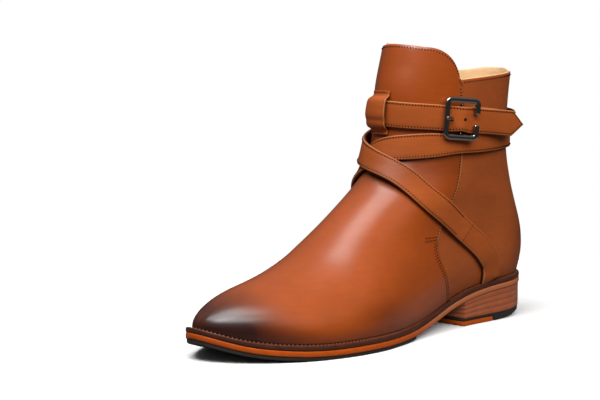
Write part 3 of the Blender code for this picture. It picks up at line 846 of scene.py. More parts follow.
def moulded_rubber(name, body):
    """Moulded black rubber with carbon and chalk: matt, a little dusty."""
    material, tree, shader, where = new_material(name)
    dust = add(tree, "TexNoise", "Fac", {"Vector": where, "Scale": per_metre(1.2), "Detail": 4.0})
    tones = {SHARE: dust, FIRST: opaque(body, 0.75), SECOND: opaque(body, 1.25)}
    colour = add(tree, "Mix", MIXED, tones, data_type="RGBA")
    bump = add(tree, "Bump", 0, {"Height": dust, "Strength": 0.25, "Distance": 0.2 * MM})
    fill(tree, shader, {"Base Color": colour, "Roughness": 0.62, "Normal": bump, "IOR": 1.52})
    return material


def waxed_thread(name, body):
    """Twisted polyester thread drawn through wax: a soft shine and fine uneven strands."""
    material, tree, shader, where = new_material(name)
    strands = add(tree, "TexNoise", "Fac", {"Vector": where, "Scale": per_metre(0.35), "Detail": 1.0})
    tones = {SHARE: strands, FIRST: opaque(body, 0.7), SECOND: opaque(body, 1.3)}
    colour = add(tree, "Mix", MIXED, tones, data_type="RGBA")
    fill(tree, shader, {"Base Color": colour, "Roughness": 0.65, "IOR": 1.5, "Specular IOR Level": 0.2})
    return material


def dark_nickel(name, body):
    """Cast zinc, polished and plated with dark nickel: a mirror with faint handling marks."""
    material, tree, shader, where = new_material(name)
    marks = add(tree, "TexNoise", "Fac", {"Vector": where, "Scale": per_metre(2.5), "Detail": 5.0})
    rough = add(tree, "MapRange", 0, {0: marks, 1: 0.35, 2: 0.7, 3: 0.05, 4: 0.14})
    fill(tree, shader, {"Base Color": opaque(body), "Metallic": 1.0, "Roughness": rough})
    return material


def white_paper(name):
    """Matt white paper: white to the camera and grey in what the boot mirrors, as with flags round it."""
    material, tree, shader, where = new_material(name)
    seen = add(tree, "LightPath", "Is Camera Ray")
    shades = {SHARE: seen, FIRST: opaque(linear("#666665")), SECOND: opaque(linear("#f4f4f3"))}
    colour = add(tree, "Mix", MIXED, shades, data_type="RGBA")
    fill(tree, shader, {"Base Color": colour, "Roughness": 0.9, "Specular IOR Level": 0.0})
    return material


def finish_of(kind):
    """A material of the boot or its stage, made once, from the colours in the panel."""
    made = bpy.data.materials.get(kind)
    if made:
        return made
    colours = bpy.context.scene.boot_colours
    dye = {name: tuple(getattr(colours, name)) for name in BootColours.__annotations__}
    wax_and_shade, edge = dye["burnish"], dye["edge"]
    finishes = {
        "burnished_vamp_calf": (calf_leather, dye["calf"], wax_and_shade, edge, 0.42, 0.95, 1.0),
        "matt_quarter_calf": (calf_leather, dye["quarter"], wax_and_shade, edge, 0.46, 0.06, 0.9),
        "strap_calf": (calf_leather, dye["strap"], wax_and_shade, edge, 0.44, 0.06, 0.9),
        "undyed_lining_leather": (plain_leather, dye["lining"], 1.0, 0.82, 0.6, 1.6, 0.12),
        "stained_welt_leather": (plain_leather, dye["welt"], 1.15, 0.7, 0.42, 1.2, 0.2),
        "dyed_sole_leather": (plain_leather, dye["sole"], 1.05, 0.8, 0.45, 0.9, 0.12, dye["sole_rear"]),
        "waxed_heel_stack": (plain_leather, dye["stack"], 1.1, 0.85, 0.36, 1.6, 0.08),
        "moulded_black_rubber": (moulded_rubber, dye["rubber"]),
        "brown_sewing_thread": (waxed_thread, dye["thread"]),
        "tan_welt_thread": (waxed_thread, dye["welt_thread"]),
        "dark_nickel_plating": (dark_nickel, dye["metal"]),
        "white_paper_sweep": (white_paper,),
    }
    maker, *values = finishes[kind]
    return maker(kind, *values)


NET_ROWS = 110
NET_QUARTER = 40
NET_VAMP = 84
TOP_ROWS = slice(NET_ROWS + 2, NET_ROWS + 1 + len(ROLLED_TOP))


# Soft creases: both ends as station, side and height, then half width and depth; a ridge is below zero.
CREASES = (
    ((214.0, 47.0, 24.0), (196.0, 14.0, 66.0), 10.0, 0.22),
    ((232.0, 42.0, 24.0), (218.0, 10.0, 52.0), 9.0, 0.16),
    ((212.0, -42.0, 24.0), (196.0, -22.0, 62.0), 10.0, 0.22),
    ((84.0, 37.0, 108.0), (34.0, 35.0, 99.0), 7.0, 0.55),
    ((70.0, 38.0, 96.0), (22.0, 30.0, 88.0), 7.0, -0.40),
    ((84.0, -37.0, 108.0), (34.0, -35.0, 99.0), 7.0, 0.55),
    ((128.0, 24.0, 118.0), (112.0, 36.0, 104.0), 6.0, 0.45),
    ((126.0, 20.0, 178.0), (100.0, 33.0, 166.0), 9.0, 0.40),
    ((128.0, -12.0, 182.0), (121.0, 16.0, 186.0), 6.0, 0.50),
)


def creased(points):
    """How far each point of the skin sinks into the creases."""
    sunk = np.zeros(points.shape[:-1])
    for start, end, width, depth in CREASES:
        start, end = np.array(start), np.array(end)
        way = end - start
        share = ((points - start) @ way) / (way @ way)
        off = np.linalg.norm(points - start - np.clip(share, 0, 1)[..., None] * way, axis=-1)
        fade = ease(-0.1, 0.25, share) * (1 - ease(0.75, 1.1, share))
        sunk += depth * fade * np.exp(-((off / width) ** 2))
    return sunk


def skin():
    """The upper's dense skin, pressed in along the creases: its net, normals and directions up the wall."""
    net = upper_net(NET_ROWS, NET_QUARTER, NET_VAMP)
    net = net - net_normals(net) * creased(net)[..., None]
    return net, net_normals(net), unit(np.gradient(net, axis=0))


# Wax on the upper: where it deepens round the toe and at its tip. Painted shade on the heel's back: where it
# thins forward and upward. Station of a dark patch at the waist.
TOE_WAX = (225.0, 290.0)
TIP_WAX = (240.0, 290.0)
TIP_HEIGHT = 24.0
HEEL_SHADE = (0.0, 44.0)
HEEL_SHADE_TOP = (60.0, 120.0)
WAIST_STATION = 180.0


def burnish(points):
    """Share of the deep colour on the upper: wax darkest round the toe and its tip, painted shade along the
    welt and low on the heel's back, and a dark patch at the waist.
    """
    station, height = points[..., 0], points[..., 2]
    rise = height - feather(station)
    toe = ease(*TOE_WAX, station)
    tip = 0.98 * ease(*TIP_WAX, station - 0.25 * (height - TIP_HEIGHT)) ** 1.2
    # Painted shade at the upper's foot along the welt, deeper and taller where the toe's wax joins it.
    low = (1 - ease(0, 10 + 12 * toe, rise)) * (0.5 + 0.4 * toe)
    waist = 0.4 * np.exp(-(((station - WAIST_STATION) / 24) ** 2) - ((rise - 10) / 11) ** 2)
    # Painted shade low on the heel's back, where the wall turns away from the light.
    heel = 0.75 * (1 - ease(*HEEL_SHADE, station)) * (1 - ease(*HEEL_SHADE_TOP, height))
    return 1 - (1 - low) * (1 - tip) * (1 - heel) * (1 - waist)


def wall_sections(net, normal, up, outside, inside, lift=0.0):
    """Sections of a wall of the upper: up the outside from its foot, over a rolled top, down the inside."""
    face = net + normal * outside
    back = net + normal * inside
    face[-1] += up[-1] * np.reshape(lift, (-1, 1))
    back[-1] += up[-1] * np.reshape(lift, (-1, 1))
    top = []
    for rise, share in ROLLED_TOP:
        top.append(face[-1] * (1 - share) + back[-1] * share + up[-1] * rise)
    rows = np.concatenate([face, np.stack(top), back[::-1]])
    return rows.transpose(1, 0, 2)


# The slit's foot, painted shade on the vamp between and under the straps, bareness of cut edges, and gaps
# between layers.
SLIT_FOOT = 65.0
SHADE_UNDER_STRAPS_HEIGHT = 114.0
SHADE_UNDER_STRAPS_SPREAD = 15.0
SLIT_BARE = 0.9
TOP_BARE = 0.4
SHEET_GAP = 0.02
LINING_GAP = 0.05


def build_vamp():
    """The vamp and tab: one sheet over the quarters, with rolled edges."""
    net, normal, up = skin()
    first, last = NET_QUARTER, net.shape[1] - NET_QUARTER
    edges = []
    for column, beyond in ((first, first - 1), (last, last + 1)):
        away = unit(net[:, beyond] - net[:, column])
        spot = slice(column, column + 1)
        rolled = []
        for reach, face, back in ROLLED_EDGE:
            moved = (net[:, column] + away * reach)[:, None]
            wall = (moved, normal[:, spot], up[:, spot])
            rolled.append(wall_sections(*wall, VAMP_STEP * face, VAMP_STEP * back))
        edges.append(np.concatenate(rolled))
    keep = slice(first, last + 1)
    sheet = wall_sections(net[:, keep], normal[:, keep], up[:, keep], VAMP_STEP, SHEET_GAP)
    sections = np.concatenate([edges[0], sheet, edges[1][::-1]])
    points, faces = sweep(sections, False)
    rim = np.zeros(sections.shape[:2])
    edge_rows = len(ROLLED_EDGE) + 1
    for ends in (slice(0, edge_rows), slice(-edge_rows, None)):
        rim[ends] = SLIT_BARE * ease(SLIT_FOOT - 3, SLIT_FOOT + 3, sections[ends, :, 2])
    rim[:, TOP_ROWS] = TOP_BARE
    # Painted shade on the vamp in the band that the straps shade.
    shade_under_straps = 0.3 * np.exp(-(((points[:, 2] - SHADE_UNDER_STRAPS_HEIGHT) / SHADE_UNDER_STRAPS_SPREAD) ** 2))
    marks = {"burnish": 1 - (1 - burnish(points)) * (1 - shade_under_straps), "edge": rim}
    piece("vamp", (points, faces[:-2]), "burnished_vamp_calf", ("upper",), marks)


def build_quarters():
    """The quarters behind and under the vamp, one wall all the way round."""
    net, normal, up = skin()
    sections = wall_sections(net, normal, up, 0.0, -QUARTER_THICK)
    points, faces = sweep(sections, True)
    rim = np.zeros(sections.shape[:2])
    rim[:, TOP_ROWS] = TOP_BARE
    # Wax and painted shade as on the vamp, a little lighter.
    marks = {"burnish": 0.8 * burnish(points), "edge": rim}
    piece("quarters", (points, faces), "matt_quarter_calf", ("upper",), marks)


# The lining above the wall: all round, by columns of the net at the back, and at the tab's inner corner.
LINING_RISE = 0.3
BACK_RISE = 1.5
BACK_COLUMNS = (5, 15)
LIP_STATION = 102.0
LIP_SPREAD = 12.0
LIP_RISE = 3.4


def build_lining():
    """The lining inside the wall, a little above the collar at the back and above the tab's inner corner."""
    net, normal, up = skin()
    count = net.shape[1]
    column = np.arange(count)
    to_back = np.minimum(column, count - column)
    corner = np.exp(-(((net[-1, :, 0] - LIP_STATION) / LIP_SPREAD) ** 2)) * (column > count / 2)
    lift = LINING_RISE + BACK_RISE * (1 - ease(*BACK_COLUMNS, to_back)) + LIP_RISE * corner
    sections = wall_sections(net, normal, up, -QUARTER_THICK - LINING_GAP, -WALL, lift)
    piece("lining", sweep(sections, True), "undyed_lining_leather", ("upper",))


def plan_loop(start, end, inset, count, round_start, round_end):
    """A loop along the sole's plan, out by the outer side, back by the inner, crowded at its round ends."""
    start = start + inset
    end = end - inset
    t = np.linspace(0, 1, count)
    if round_start and round_end:
        share = (1 - np.cos(t * math.pi)) / 2
    elif round_end:
        share = np.sin(t * math.pi / 2)
    elif round_start:
        share = 1 - np.cos(t * math.pi / 2)
    else:
        share = t
    where = start + (end - start) * share
    outer = np.stack([where, KEEL(where) + plan_half(True, where, inset)], axis=1)
    inner = np.stack([where, KEEL(where) - plan_half(False, where, inset)], axis=1)
    return np.concatenate([outer, inner[::-1]])


def edged_plate(name, node, span, ends, low, high, profile, finish, inset=0.0, count=110, dyed=None):
    """A sheet of the sole with a shaped edge; profile rows are share of its height and cut of its edge."""
    loops = []
    start, end = span
    for share, cut in profile:
        loop = plan_loop(start - inset, end + inset, inset + cut, count, *ends)
        station = loop[:, 0]
        height = low(station) * (1 - share) + high(station) * share
        loops.append(np.column_stack([loop, height]))
    points, faces = slab(np.stack(loops))
    marks = {"undyed": 1 - ease(*dyed, points[:, 0])} if dyed else None
    piece(name, (points, faces), finish, (node,), marks)


# Stations between which the dye of the sole's edge comes in.
DYED_FROM = (105.0, 165.0)

# Edge of a sole sheet: share of its height, how far the edge is cut in.
ROUND_EDGE = (
    (0.0, 1.2), (0.0, 0.4), (0.1, 0.12), (0.25, 0.0),
    (0.75, 0.0), (0.9, 0.12), (1.0, 0.4), (1.0, 1.2),
)
CUT_EDGE = (
    (0.0, 1.0), (0.0, 0.3), (0.08, 0.06), (0.2, 0.0),
    (0.85, 0.0), (0.95, 0.06), (1.0, 0.25), (1.0, 1.0),
)

# Edge of the heel's lifts, with a fine groove between each two of them.
GROOVES = (0.26, 0.51, 0.76)
LIFT_EDGE = (
    (0.0, 1.0), (0.0, 0.2), (0.03, 0.0),
    *(row for share in GROOVES for row in ((share - 0.015, 0.0), (share, 0.13), (share + 0.015, 0.0))),
    (0.97, 0.0), (1.0, 0.2), (1.0, 1.0),
)

# Welt from its inner foot round the outer edge to the inner top: inset from the sole's plan, rise.
WELT_EDGE = (
    (WELT_REACH, SEAT),
    (0.5, SEAT),
    (0.1, SEAT + 0.4),
    (0.0, SEAT + 1.0),
    (0.0, WELT_THICK - 0.9),
    (0.15, WELT_THICK - 0.3),
    (0.6, WELT_THICK),
    (1.5, WELT_THICK),
    (2.0, WELT_THICK - 0.3),
    (2.5, WELT_THICK),
    (WELT_REACH, WELT_THICK),
)
WELT_SEAM = 2.0


def heel_lift(station):
    """Top of the heel rubber, a little higher towards the back."""
    back = np.clip((HEEL_SPLIT - station) / HEEL_SPLIT, 0, 1)
    return HEEL_PIECE + HEEL_LAYER + HEEL_RISE * back**1.5


def heel_tread(station):
    """Underside of the heel rubber: raised over the leather piece, bevelled at the back."""
    bevel = HEEL_BEVEL * np.clip((HEEL_SPLIT - station) / HEEL_SPLIT, 0, 1) ** 1.2
    return HEEL_PIECE * ease(HEEL_SPLIT, HEEL_SPLIT + 1.5, station) + bevel


# Insets of the sole's sheets from its plan, and room for the sock inside the wall.
FOREFOOT_INSET = 0.8
STACK_INSET = 0.6
TOP_PIECE_INSET = 1.0
SOCK_ROOM = WALL + 1.2
SOCK_STATION = 150.0
FINE_EDGE = 170


def build_welt():
    """The welt: a ring round the sole, its top grooved for the thread."""
    loops = []
    for inset, rise in WELT_EDGE:
        loop = plan_loop(0.0, SOLE_LENGTH, inset, FINE_EDGE, True, True)
        loops.append(np.column_stack([loop, UNDER(loop[:, 0]) + LEATHER_THICK + rise]))
    sections = np.stack(loops).transpose(1, 0, 2)
    doubled = (FINE_EDGE, 2 * FINE_EDGE - 1)
    piece("welt_strip", sweep(np.delete(sections, doubled, axis=0), True), "stained_welt_leather", ("welt",))


def build_sole():
    """Leather sole, forefoot rubber and insole."""
    edged_plate(
        "sole_sheet",
        "leather_sole",
        (0.0, SOLE_LENGTH),
        (True, True),
        UNDER,
        lambda s: UNDER(s) + LEATHER_THICK,
        ROUND_EDGE,
        "dyed_sole_leather",
        count=FINE_EDGE,
        dyed=DYED_FROM,
    )
    edged_plate(
        "forefoot_sheet",
        "forefoot_rubber",
        (FOREFOOT_BACK, SOLE_LENGTH - FOREFOOT_INSET),
        (False, True),
        lambda s: np.maximum(UNDER(s) - FOREFOOT_THICK * ease(FOREFOOT_BACK - 9, FOREFOOT_BACK + 3, s), 0.0),
        lambda s: UNDER(s) - SEAT,
        CUT_EDGE,
        "moulded_black_rubber",
        FOREFOOT_INSET,
    )
    top = LEATHER_THICK + WELT_THICK + SEAT
    edged_plate(
        "sock",
        "insole",
        (MARGIN(0.0) + SOCK_ROOM, SOLE_LENGTH - MARGIN(SOLE_LENGTH) - SOCK_ROOM),
        (True, True),
        lambda s: UNDER(s) + top,
        lambda s: UNDER(s) + top + INSOLE_THICK,
        CUT_EDGE,
        "undyed_lining_leather",
        MARGIN(SOCK_STATION) + SOCK_ROOM,
    )


def build_heel():
    """Stacked lifts, the rubber under them and the leather piece let into its front."""
    edged_plate(
        "heel_lifts",
        "heel_stack",
        (STACK_INSET, BREAST),
        (True, False),
        heel_lift,
        lambda s: UNDER(s) - SEAT,
        LIFT_EDGE,
        "waxed_heel_stack",
        STACK_INSET,
    )
    edged_plate(
        "heel_top_rubber",
        "heel_rubber",
        (TOP_PIECE_INSET, BREAST),
        (True, False),
        heel_tread,
        lambda s: heel_lift(s) - SEAT,
        CUT_EDGE,
        "moulded_black_rubber",
        TOP_PIECE_INSET,
        count=150,
    )
    edged_plate(
        "heel_top_leather",
        "heel_leather",
        (HEEL_SPLIT + 2.2, BREAST),
        (False, False),
        lambda s: 0 * s,
        lambda s: HEEL_PIECE - SEAT + 0 * s,
        CUT_EDGE,
        "dyed_sole_leather",
        TOP_PIECE_INSET,
        count=40,
    )


# Strap from edge to edge: share of the half width, share of the thickness, bareness of the leather, and
# painted shade on its back and the lower part of its edges, the groove by the stitches a little darker.
STRAP_BACK = tuple((share, 0.0, 0.0, 0.9) for share in (-0.96, -0.5, 0.0, 0.5, 0.96))
STRAP_FACE = (
    (1.0, 0.25, 0.0, 0.9),
    (1.0, 0.62, 0.1, 0.6),
    (0.99, 0.86, 0.8, 0.0),
    (0.955, 1.0, 0.45, 0.0),
    (0.91, 1.03, 0.0, 0.0),
    (0.83, 0.97, 0.0, 0.3),
    (0.75, 1.03, 0.0, 0.0),
    (0.45, 1.06, 0.0, 0.0),
    (0.0, 1.08, 0.0, 0.0),
)


def strap_profile():
    """The strap's section as one loop, from the back of one edge round by the face."""
    right = list(STRAP_FACE)
    left = [(-c, *rest) for c, *rest in STRAP_FACE[-2::-1]]
    return np.array(list(STRAP_BACK) + right + left)


def band(run, thick, profile):
    """Sections of a strap lying off the skin."""
    around, height, lift, half, cross = run
    sections = []
    for share, level, *marks in profile:
        a, h = walk(around, height, cross * (half * share)[:, None])
        sections.append(off_skin(a, h, lift + thick * level)[0])
    return np.stack(sections).transpose(1, 0, 2)


# Steps along each strap, and how many of them lie before its rows of stitches.
OUTER_STEP = 1.6
INNER_STEP = 1.2
SEWN_FROM = 40


def strap_runs():
    """The runs of the two straps along the skin, the inner one drawn in to a blunt point."""
    around, height, lift, half, distance, cross = strap_frame(OUTER_STRAP, OUTER_STEP)
    outer = (around, height, lift, half, cross)
    around, height, lift, half, distance, cross = strap_frame(INNER_STRAP, INNER_STEP)
    half = half * np.clip((distance[-1] - distance) / POINT_LENGTH + 0.04, 0, 1)
    return outer, (around, height, lift, half, cross)


# Joining seam above each strap's foot: distance along at shares 1 and -1 of the half width, and its bead.
JOIN = (56.0, 50.0)
JOIN_BEAD = (0.45, 0.4)
# Holes in the tail, drawn as dark plugs of painted shade: distance back from its point, radius; and where
# their rims lie below and above the face.
HOLES = ((52.1, 1.15), (59.3, 1.5))
HOLE_LEVELS = (-0.8, -0.2, 0.12)


def on_strap(run, steps, distance, share):
    """Points of a strap's face and their normals, by distance along it and share of its half width."""
    around, height, lift, half = read_off(distance, steps, np.stack(run[:4], axis=1)).T
    cross = read_off(distance, steps, run[4])
    return off_skin(*walk(around, height, cross * (half * share)[:, None]), lift + STRAP_THICK * 1.05)


def mark_straps():
    """The joining seams across the straps, and dark plugs that paint the shade in the punched holes of the
    tail.
    """
    outer, inner = strap_runs()
    share = np.linspace(-0.93, 0.93, 24)
    across = np.interp(share, (-1, 1), JOIN[::-1])
    for name, run, step, sign in (("outer", outer, OUTER_STEP, 1), ("inner", inner, INNER_STEP, -1)):
        path, out = on_strap(run, np.arange(len(run[0])) * step, across, sign * share)
        points, faces = sweep(bar(path, out.mean(axis=0), JOIN_BEAD, 2.0, 8), False)
        piece(f"join_{name}", (points, faces), "strap_calf", (), {"burnish": np.full(len(points), 0.7)})
    count = len(inner[0])
    steps = (np.arange(count) - (count - 1)) * INNER_STEP
    for number, (back, radius) in enumerate(HOLES):
        centre, out = on_strap(inner, steps, np.array([-back]), np.zeros(1))
        axis = np.concatenate([centre + out * level for level in HOLE_LEVELS])
        points, faces = sweep(bar(axis, np.array([0.0, 0.0, 1.0]), (2 * radius, 2 * radius), 2.0), False)
        # Each plug is wholly in the deep colour: painted shade inside the hole.
        piece(f"tail_hole_{number + 1}", (points, faces), "strap_calf", (), {"burnish": np.ones(len(points))})


# Darkening on the straps: heights over which it thins above the foot. Painted shade on the instep's bend,
# where the straps face up to the overhead light: its height, spread and stations.
FOOT_DARKENING = (26.0, 75.0)
BEND_SHADE_HEIGHT = 114.0
BEND_SHADE_SPREAD = 13.0
BEND_SHADE_FROM = (105.0, 125.0)


def build_straps():
    """The two wrapping straps: painted shade on their backs and the lower part of their edges, faces dipped
    along the seams, darker towards their feet, painted shade over the instep's bend.
    """
    profile = strap_profile()
    for side, run in zip(("outer", "inner"), strap_runs()):
        sections = band(run, STRAP_THICK, profile)
        bare, wax_and_shade = np.tile(profile[:, 2:], (len(sections), 1)).T
        points, faces = sweep(sections, False)
        station, height = points[:, 0], points[:, 2]
        # Darker towards the strap's foot.
        foot = 0.25 * (1 - ease(*FOOT_DARKENING, height))
        # Painted shade where the strap lies over the instep's bend and faces up to the overhead light.
        bend = 0.35 * np.exp(-(((height - BEND_SHADE_HEIGHT) / BEND_SHADE_SPREAD) ** 2)) * ease(*BEND_SHADE_FROM, station)
        marks = {"edge": bare, "burnish": np.maximum(wax_and_shade, foot + bend)}
        piece(f"wrap_strap_{side}", (points, faces), "strap_calf", (f"{side}_strap",), marks)


def loop_run():
    """The run of the front loop up the tab."""
    height, lift = line(LOOP, 60).T
    count = len(height)
    cross = np.tile([0.0, 1.0, 0.0], (count, 1))
    return np.full(count, LOOP_AROUND), height, lift, np.full(count, LOOP_WIDTH / 2), cross


def build_loop():
    """The loop that holds the strap at the front of the tab."""
    coarse = strap_profile()
    halfway = (coarse + np.roll(coarse, -1, axis=0)) / 2
    profile = np.stack([coarse, halfway], axis=1).reshape(-1, coarse.shape[1])
    sections = band(loop_run(), LOOP_THICK, profile)
    bare, wax_and_shade = np.tile(profile[:, 2:], (len(sections), 1)).T
    # Painted shade on the loop's back and the lower part of its edges, from the strap's profile.
    marks = {"edge": 0.7 * bare, "burnish": 0.6 * wax_and_shade}
    piece("strap_loop", sweep(sections, False), "strap_calf", ("front_loop",), marks)


# Slope of the buckle along the strap, and width and thickness of its prong.
BUCKLE_DROP = 0.08
PRONG_SIZE = (2.0, 2.3)


def buckle_axes():
    """Middle of the buckle on the vamp's skin, and its directions: back along the strap, up and outward."""
    around = np.array([BUCKLE_AROUND])
    height = np.array([BUCKLE_HEIGHT])
    across, up, normal = (column[0] for column in slopes(around, height))
    outward = unit(normal)
    backward = -unit(across) - np.array([0, 0, BUCKLE_DROP])
    backward = unit(backward - outward * np.dot(backward, outward))
    upward = np.cross(outward, backward)
    upward *= np.sign(upward[2])
    return surface(around, height)[0] + outward * VAMP_STEP, backward, upward, outward


def bar(path, up, size, power, corners=16):
    """Sections of a bar along a path: its width and thickness, squarer with a higher power."""
    path = np.asarray(path, float)
    forward = unit(np.gradient(path, axis=0))
    thick = unit(up - forward * (forward @ up)[:, None])
    wide = np.cross(forward, thick)
    turn = (np.arange(corners) + 0.5) * 2 * math.pi / corners
    x = np.sign(np.cos(turn)) * np.abs(np.cos(turn)) ** (2 / power) * size[0] / 2
    y = np.sign(np.sin(turn)) * np.abs(np.sin(turn)) ** (2 / power) * size[1] / 2
    return path[:, None] + wide[:, None] * x[:, None] + thick[:, None] * y[:, None]


def domed(sections):
    """Bar sections with their two ends rounded off."""
    middle = sections.mean(axis=1, keepdims=True)
    caps = []
    for end, inward in ((0, 1), (-1, -2)):
        caps.append(middle[end] + (sections[end] - middle[end]) * 0.7 + (middle[end] - middle[inward]) * 0.2)
    return np.concatenate([caps[:1], sections, caps[1:]])


def build_buckle():
    """Buckle ring with its gap, centre bar and prong."""
    middle, backward, upward, outward = buckle_axes()

    def at(a, b, n):
        return middle + backward * a + upward * b + outward * (n + BUCKLE_TILT * a)

    reach_a = BUCKLE_LENGTH / 2 - BUCKLE_BAR / 2
    reach_b = BUCKLE_TALL / 2 - BUCKLE_BAR / 2
    corner = BUCKLE_CORNER - BUCKLE_BAR / 2
    flat = [(reach_a, BUCKLE_GAP / 2), (reach_a, BUCKLE_GAP / 2 + 1)]
    for sign_a, sign_b, start in ((1, 1, 0), (-1, 1, 90), (-1, -1, 180), (1, -1, 270)):
        centre = (sign_a * (reach_a - corner), sign_b * (reach_b - corner))
        for degrees in range(start, start + 91, 9):
            turn = math.radians(degrees)
            flat.append((centre[0] + corner * math.cos(turn), centre[1] + corner * math.sin(turn)))
    flat += [(reach_a, -BUCKLE_GAP / 2 - 1), (reach_a, -BUCKLE_GAP / 2)]
    ring = bar([at(a, b, BUCKLE_LEVEL) for a, b in flat], outward, (BUCKLE_BAR, BUCKLE_THICK), 2.6)
    pin = [at(0, b, PIN_LEVEL + rise) for b, rise in line(PIN, 40)]
    pin = bar(pin, outward, (2 * PIN_RADIUS, 2 * PIN_RADIUS), 2.0)
    prong = bar([at(a, 0, n) for a, n in line(PRONG, 30)], upward, PRONG_SIZE, 2.4)
    piece("buckle_ring", sweep(domed(ring), False), "dark_nickel_plating", ("buckle_frame",))
    piece("buckle_bar", sweep(pin, False), "dark_nickel_plating", ("buckle_pin",))
    piece("buckle_tongue", sweep(domed(prong), False), "dark_nickel_plating", ("buckle_prong",))


# A stitch's share of its pitch, how far its ends sink, and its corners round.
STITCH_SHARE = 0.42
STITCH_SINK = 0.6
STITCH_CORNERS = 5


def stitch_row(path, normal, pitch, width):
    """Threads laid along a path, one to each pitch, their ends dipping into the leather."""
    run = distance_along(path)
    middles = np.arange(pitch / 2, run[-1] - pitch / 3, pitch)
    turn = np.arange(STITCH_CORNERS) * 2 * math.pi / STITCH_CORNERS + math.pi / 2
    rings = []
    for place_along, share, sink in STITCH:
        spot = middles + place_along * STITCH_SHARE * pitch
        centre = read_off(spot, run, path)
        out = unit(read_off(spot, run, normal))
        side = np.cross(unit(read_off(spot + 0.1, run, path) - centre), out)
        centre = centre - out * sink * width * STITCH_SINK
        round_about = side[:, None] * np.cos(turn)[:, None] + out[:, None] * np.sin(turn)[:, None]
        rings.append(centre[:, None] + round_about * (share * width / 2))
    return np.stack(rings, axis=1)


def threads(name, rows, pitch, width, finish):
    """One piece from many rows of stitches."""
    stitches = [stitch_row(path, normal, pitch, width) for path, normal in rows]
    stitches = np.concatenate([row for row in stitches if len(row)])
    one = sweep(stitches[0], False)[1]
    size = stitches[0][..., 0].size
    faces = []
    for low in range(0, len(stitches) * size, size):
        faces += [[low + k for k in face] for face in one]
    piece(name, (stitches.reshape(-1, 3), faces), finish)


def sew(name, rows):
    """Rows of stitches in the thread of the upper and the straps."""
    sizes = bpy.context.scene.boot_sizes
    threads(name, rows, sizes.stitch_pitch / MM, sizes.stitch_width / MM, "brown_sewing_thread")


def inside_row(points, normals, inset):
    """Points a distance in from the first column of a net, along each of its rows, and their normals."""
    where = []
    out = []
    for row, row_out in zip(points, normals):
        run = distance_along(row)
        where.append(read_off(inset, run, row))
        out.append(read_off(inset, run, row_out))
    return np.array(where), np.array(out)


def from_top(net, chosen):
    """Chosen columns of a net, each from the top down."""
    return net[::-1, chosen].transpose(1, 0, 2)


# The second row below the slit, the bar tack's reach and gap, and rows of the net left free at corners.
SECOND_ROW = 2.2
BAR_TACK = (0.8, 15.0)
BAR_TACK_GAP = 2.2
EDGE_FREE = 3
TAB_FREE = 4


def skin_spot(station, height, sign):
    """A point of the vamp's face and its normal on the outer side, or on the inner for a sign below zero."""
    back = back_station(height)
    share = (station - back) / (ridge_station(height) - back)
    return off_skin(sign * np.degrees(np.arccos(1 - 2 * share)), height)


def sew_upper():
    """Rows along the vamp's edge, tab and collar, the double row below the slit and its bar tack."""
    margin = bpy.context.scene.boot_sizes.stitch_margin / MM
    net, normal, up = skin()
    count = net.shape[1]
    raised = net + normal * VAMP_STEP
    first, last = NET_QUARTER, count - NET_QUARTER
    rows = []
    for chosen, sign in ((slice(first, first + NET_VAMP), 1), (slice(last, last - NET_VAMP, -1), -1)):
        side = (raised[:, chosen], normal[:, chosen])
        path, out = inside_row(*side, margin)
        rows.append((path[:-EDGE_FREE], out[:-EDGE_FREE]))
        low = path[:, 2] < SLIT_FOOT
        second, second_out = inside_row(*side, margin + SECOND_ROW)
        rows.append((second[low], second_out[low]))
        for level in (SLIT_FOOT, SLIT_FOOT + BAR_TACK_GAP):
            start = np.interp(level, EDGE_LINE[:, 1], EDGE_LINE[:, 0])
            rows.append(skin_spot(start + np.linspace(*BAR_TACK, 16), np.full(16, level), sign))
    tab = np.arange(first, last + 1)
    rim, rim_out = inside_row(from_top(raised, tab), from_top(normal, tab), margin)
    rows.append((rim[TAB_FREE:-TAB_FREE], rim_out[TAB_FREE:-TAB_FREE]))
    collar = np.r_[last:count, 0:first]
    rows.append(inside_row(from_top(net, collar), from_top(normal, collar), margin))
    sew("upper_stitches", rows)


def sew_straps():
    """Rows along both edges of the straps and across the ends of the front loop."""
    margin = bpy.context.scene.boot_sizes.stitch_margin / MM
    rows = []
    for around, height, lift, half, cross in strap_runs():
        for sign in (-1, 1):
            offset = sign * np.maximum(half - margin, 0.0)
            path, out = off_skin(*walk(around, height, cross * offset[:, None]), lift + STRAP_THICK * 1.01)
            rows.append((path[SEWN_FROM:], out[SEWN_FROM:]))
    sew("strap_stitches", rows)
    rows = []
    around, height, lift, half, cross = loop_run()
    share = np.linspace(-0.86, 0.86, 24)
    for k in (2, len(height) - 3):
        move = cross[k] * (half[k] * share)[:, None]
        spots = walk(np.full(len(share), around[k]), np.full(len(share), height[k]), move)
        rows.append(off_skin(*spots, lift[k] + LOOP_THICK * 0.97))
    sew("loop_stitches", rows)


def sew_welt():
    """The row of thick stitches round the top of the welt."""
    sizes = bpy.context.scene.boot_sizes
    loop = plan_loop(0.0, SOLE_LENGTH, WELT_SEAM, 400, True, True)
    path = np.column_stack([loop, UNDER(loop[:, 0]) + LEATHER_THICK + WELT_THICK + 0.15])
    out = np.tile([0.0, 0.0, 1.0], (len(path), 1))
    threads("welt_stitches", [(path, out)], sizes.welt_pitch / MM, sizes.welt_thread / MM, "tan_welt_thread")


# Table and room: metres to the table's edge, brightness of the room at the horizon.
TABLE_REACH = 0.42
ROOM_DIM = 0.05

# Softboxes: degrees round from the toe and up, distance and size in metres, whether they show in the gloss.
SOFTBOXES = {
    "top": (-10.0, 68.0, 1.5, (0.95, 1.1), True),
    "side": (90.0, 42.0, 2.2, (1.8, 1.4), False),
    "front": (28.0, 53.0, 1.5, (0.9, 0.5), True),
}
AIM_HEIGHT = 0.08

